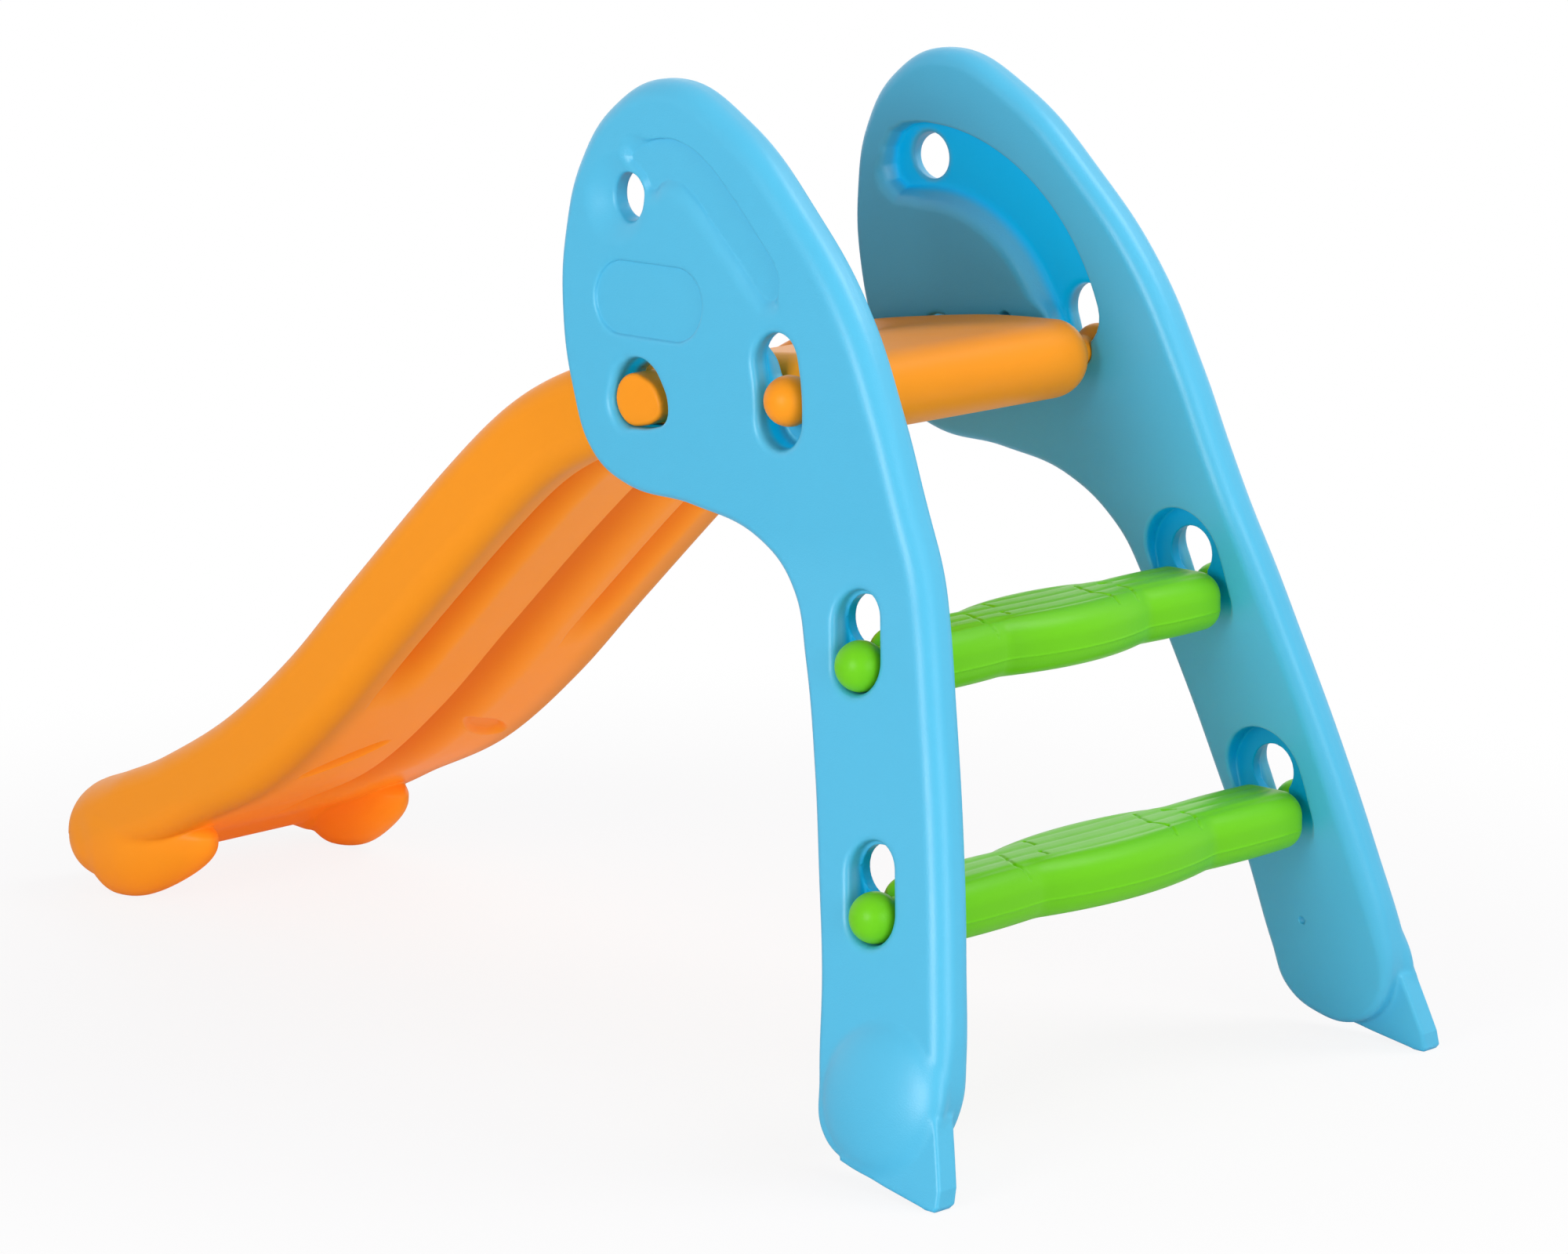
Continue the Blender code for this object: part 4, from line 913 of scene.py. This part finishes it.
def step_field_for(seat):
    """Field of one step about its seat, with y across the slide."""
    ball_y = middle_y(seat[1]) + HALF - STEP_BALL_INSET
    half_length = web_faces(ball_y)[1] - STEP_END_GAP

    def step_field(ball_x, y, z):
        x = ball_x - STEP_BODY_SHIFT
        side = np.abs(y)
        share = side / half_length
        lobe = 0.0140 * (1.0 - (share / 0.47) ** 2)
        end = 0.0036 * (1.0 - ((share - 0.70) / 0.30) ** 2)
        swell = soft_max(lobe, np.maximum(end, -0.0040), 0.0022)
        half_width = STEP_END_HALF_WIDTH + swell
        corner = np.where(z > -STEP_DROP, 0.0180, 0.0150)
        flat = round_join(np.abs(x) - half_width, np.abs(z + STEP_DROP) - STEP_HALF_HEIGHT, corner)
        body = round_join(flat, side - half_length, STEP_END_ROUND)
        top = ramp(0.004, 0.010, z + STEP_DROP)
        bend = 0.0030 * np.cos(side / half_length * 6.0)
        cut = np.zeros(x.shape)
        for offset in TREAD_GROOVES:
            place = x - offset * (1.0 + 9.0 * swell) - bend * 0.4
            cut = cut + 0.0005 * np.exp(-((place / 0.0023) ** 2))
        body = body + cut * top * ramp(0.0, 0.012, half_length - side - 0.012)
        for (ax, ay), (bx, by) in TWIGS:
            line = to_segment(x, y, (ax, ay * half_length), (bx, by * half_length))
            body = body + 0.0009 * np.exp(-((line / 0.0013) ** 2)) * top
        seam = 0.0005 * np.exp(-(((z + STEP_DROP + 0.0060) / 0.0007) ** 2)) * ramp(0.015, 0.022, x)
        body = body - seam * ramp(0.98, 0.90, share)
        away = np.hypot(ball_x, z)
        ball = np.sqrt(away ** 2 + (side - ball_y) ** 2) - BALL_RADIUS
        neck = np.maximum(away - NECK_RADIUS, side - ball_y)
        return soft_min(body, soft_min(ball, neck, 0.0010), 0.0012)

    return step_field, half_length, ball_y


def build_step(name, seat, body, node):
    field, half_length, ball_y = step_field_for(seat)
    reach = ball_y + BALL_RADIUS + 0.004
    step = 0.0022
    refine = 2

    def warp(points):
        return points + np.array([seat[0], 0.0, seat[1]])

    low = (-0.0480, -reach, -0.0280)
    high = (0.0480, reach, 0.0220)
    mesh, normals = moulded(name, field, warp, low, high, step, refine)
    finish_piece(name, mesh, normals, green, body, node)


build_panels()
build_chute()
build_step("upper_step_skin", STEP_SEATS["upper"], "upper_tread", "upper_step")
build_step("lower_step_skin", STEP_SEATS["lower"], "lower_tread", "lower_step")


FLOOR_FADE_START = 0.45
FLOOR_FADE_END = 1.15
FLOOR_WHITENESS = 0.87


def floor_material():
    """Pale floor that keeps the shadow near the slide and turns to plain white further away."""
    material = bpy.data.materials.new("pale_floor")
    material.use_nodes = True
    tree = material.node_tree
    shader = tree.nodes["Principled BSDF"]
    shader.inputs["Base Color"].default_value = (0.86, 0.86, 0.86, 1.0)
    shader.inputs["Roughness"].default_value = 0.80
    shader.inputs["Specular IOR Level"].default_value = 0.0
    white = tree.nodes.new("ShaderNodeEmission")
    white.inputs["Color"].default_value = (1.0, 1.0, 1.0, 1.0)
    white.inputs["Strength"].default_value = 1.0
    coords = tree.nodes.new("ShaderNodeTexCoord")
    distance = tree.nodes.new("ShaderNodeVectorMath")
    distance.operation = "LENGTH"
    tree.links.new(coords.outputs["Object"], distance.inputs[0])
    fade = tree.nodes.new("ShaderNodeMapRange")
    fade.interpolation_type = "SMOOTHSTEP"
    fade.inputs["From Min"].default_value = FLOOR_FADE_START
    fade.inputs["From Max"].default_value = FLOOR_FADE_END
    fade.inputs["To Min"].default_value = FLOOR_WHITENESS
    fade.inputs["To Max"].default_value = 1.0
    tree.links.new(distance.outputs["Value"], fade.inputs["Value"])
    path = tree.nodes.new("ShaderNodeLightPath")
    share = tree.nodes.new("ShaderNodeMath")
    share.operation = "MULTIPLY"
    tree.links.new(fade.outputs["Result"], share.inputs[0])
    tree.links.new(path.outputs["Is Camera Ray"], share.inputs[1])
    mix = tree.nodes.new("ShaderNodeMixShader")
    tree.links.new(share.outputs["Value"], mix.inputs["Fac"])
    tree.links.new(shader.outputs["BSDF"], mix.inputs[1])
    tree.links.new(white.outputs["Emission"], mix.inputs[2])
    tree.links.new(mix.outputs["Shader"], tree.nodes["Material Output"].inputs["Surface"])
    return material


def plane(name, corners, material):
    mesh = bpy.data.meshes.new(name)
    mesh.from_pydata(corners, [], [(0, 1, 2, 3)])
    mesh.materials.append(material)
    obj = bpy.data.objects.new(name, mesh)
    bpy.context.scene.collection.objects.link(obj)


plane("floor", [(-9, -9, 0), (9, -9, 0), (9, 9, 0), (-9, 9, 0)], floor_material())


def area_light(name, place, target, size, power):
    data = bpy.data.lights.new(name, "AREA")
    data.shape = "RECTANGLE"
    data.size = size[0]
    data.size_y = size[1]
    data.energy = power
    obj = bpy.data.objects.new(name, data)
    bpy.context.scene.collection.objects.link(obj)
    direction = Vector(target) - Vector(place)
    turn = direction.to_track_quat("-Z", "Y").to_matrix().to_4x4()
    obj.matrix_world = Matrix.Translation(place) @ turn


def set_world():
    """Soft studio light that the camera and glossy surfaces see as white."""
    world = bpy.data.worlds.new("studio")
    bpy.context.scene.world = world
    world.use_nodes = True
    tree = world.node_tree
    tree.nodes.clear()
    out = tree.nodes.new("ShaderNodeOutputWorld")
    soft = tree.nodes.new("ShaderNodeBackground")
    soft.inputs["Color"].default_value = (1.0, 0.87, 0.98, 1.0)
    soft.inputs["Strength"].default_value = 0.37
    gloss = tree.nodes.new("ShaderNodeBackground")
    gloss.inputs["Color"].default_value = (1.0, 1.0, 1.0, 1.0)
    gloss.inputs["Strength"].default_value = 1.40
    seen = tree.nodes.new("ShaderNodeBackground")
    seen.inputs["Color"].default_value = (1.0, 1.0, 1.0, 1.0)
    seen.inputs["Strength"].default_value = 1.0
    path = tree.nodes.new("ShaderNodeLightPath")
    bright = tree.nodes.new("ShaderNodeMixShader")
    tree.links.new(path.outputs["Is Glossy Ray"], bright.inputs["Fac"])
    tree.links.new(soft.outputs["Background"], bright.inputs[1])
    tree.links.new(gloss.outputs["Background"], bright.inputs[2])
    mix = tree.nodes.new("ShaderNodeMixShader")
    tree.links.new(path.outputs["Is Camera Ray"], mix.inputs["Fac"])
    tree.links.new(bright.outputs["Shader"], mix.inputs[1])
    tree.links.new(seen.outputs["Background"], mix.inputs[2])
    tree.links.new(mix.outputs["Shader"], out.inputs["Surface"])


CAMERA_PLACE = (2.3175 + MIDDLE_X, -2.7568, 1.1081)
CAMERA_TURN_DEG = 44.5
CAMERA_DOWN_DEG = 11.94
CAMERA_ROLL_DEG = -0.217
CAMERA_LENS_MM = 126.0


def set_camera():
    """Camera at the photograph's place, with a long lens."""
    turn = math.radians(CAMERA_TURN_DEG)
    lift = math.radians(CAMERA_DOWN_DEG)
    roll = math.radians(CAMERA_ROLL_DEG)
    look = Vector((-math.sin(turn) * math.cos(lift), math.cos(turn) * math.cos(lift), -math.sin(lift)))
    right = Vector((math.cos(turn), math.sin(turn), 0.0))
    up = right.cross(look)
    level_right = right * math.cos(roll) + up * math.sin(roll)
    level_up = up * math.cos(roll) - right * math.sin(roll)
    data = bpy.data.cameras.new("camera")
    data.sensor_width = 36.0
    data.lens = CAMERA_LENS_MM
    data.clip_end = 50.0
    camera = bpy.data.objects.new("camera", data)
    bpy.context.scene.collection.objects.link(camera)
    rows = Matrix((level_right, level_up, -look)).transposed().to_4x4()
    camera.matrix_world = Matrix.Translation(CAMERA_PLACE) @ rows
    bpy.context.scene.camera = camera


set_world()
set_camera()
area_light("front", (0.8, -3.8, 1.20), (0.0, 0.0, 0.3), (1.5, 1.4), 68.0)
area_light("right_side", (3.8, -0.75, 1.10), (0.1, 0.0, 0.3), (1.6, 2.0), 36.0)
area_light("top_right", (1.7, 1.3, 3.0), (0.0, 0.0, 0.3), (1.6, 1.6), 46.0)
bpy.context.scene.view_settings.view_transform = "Standard"
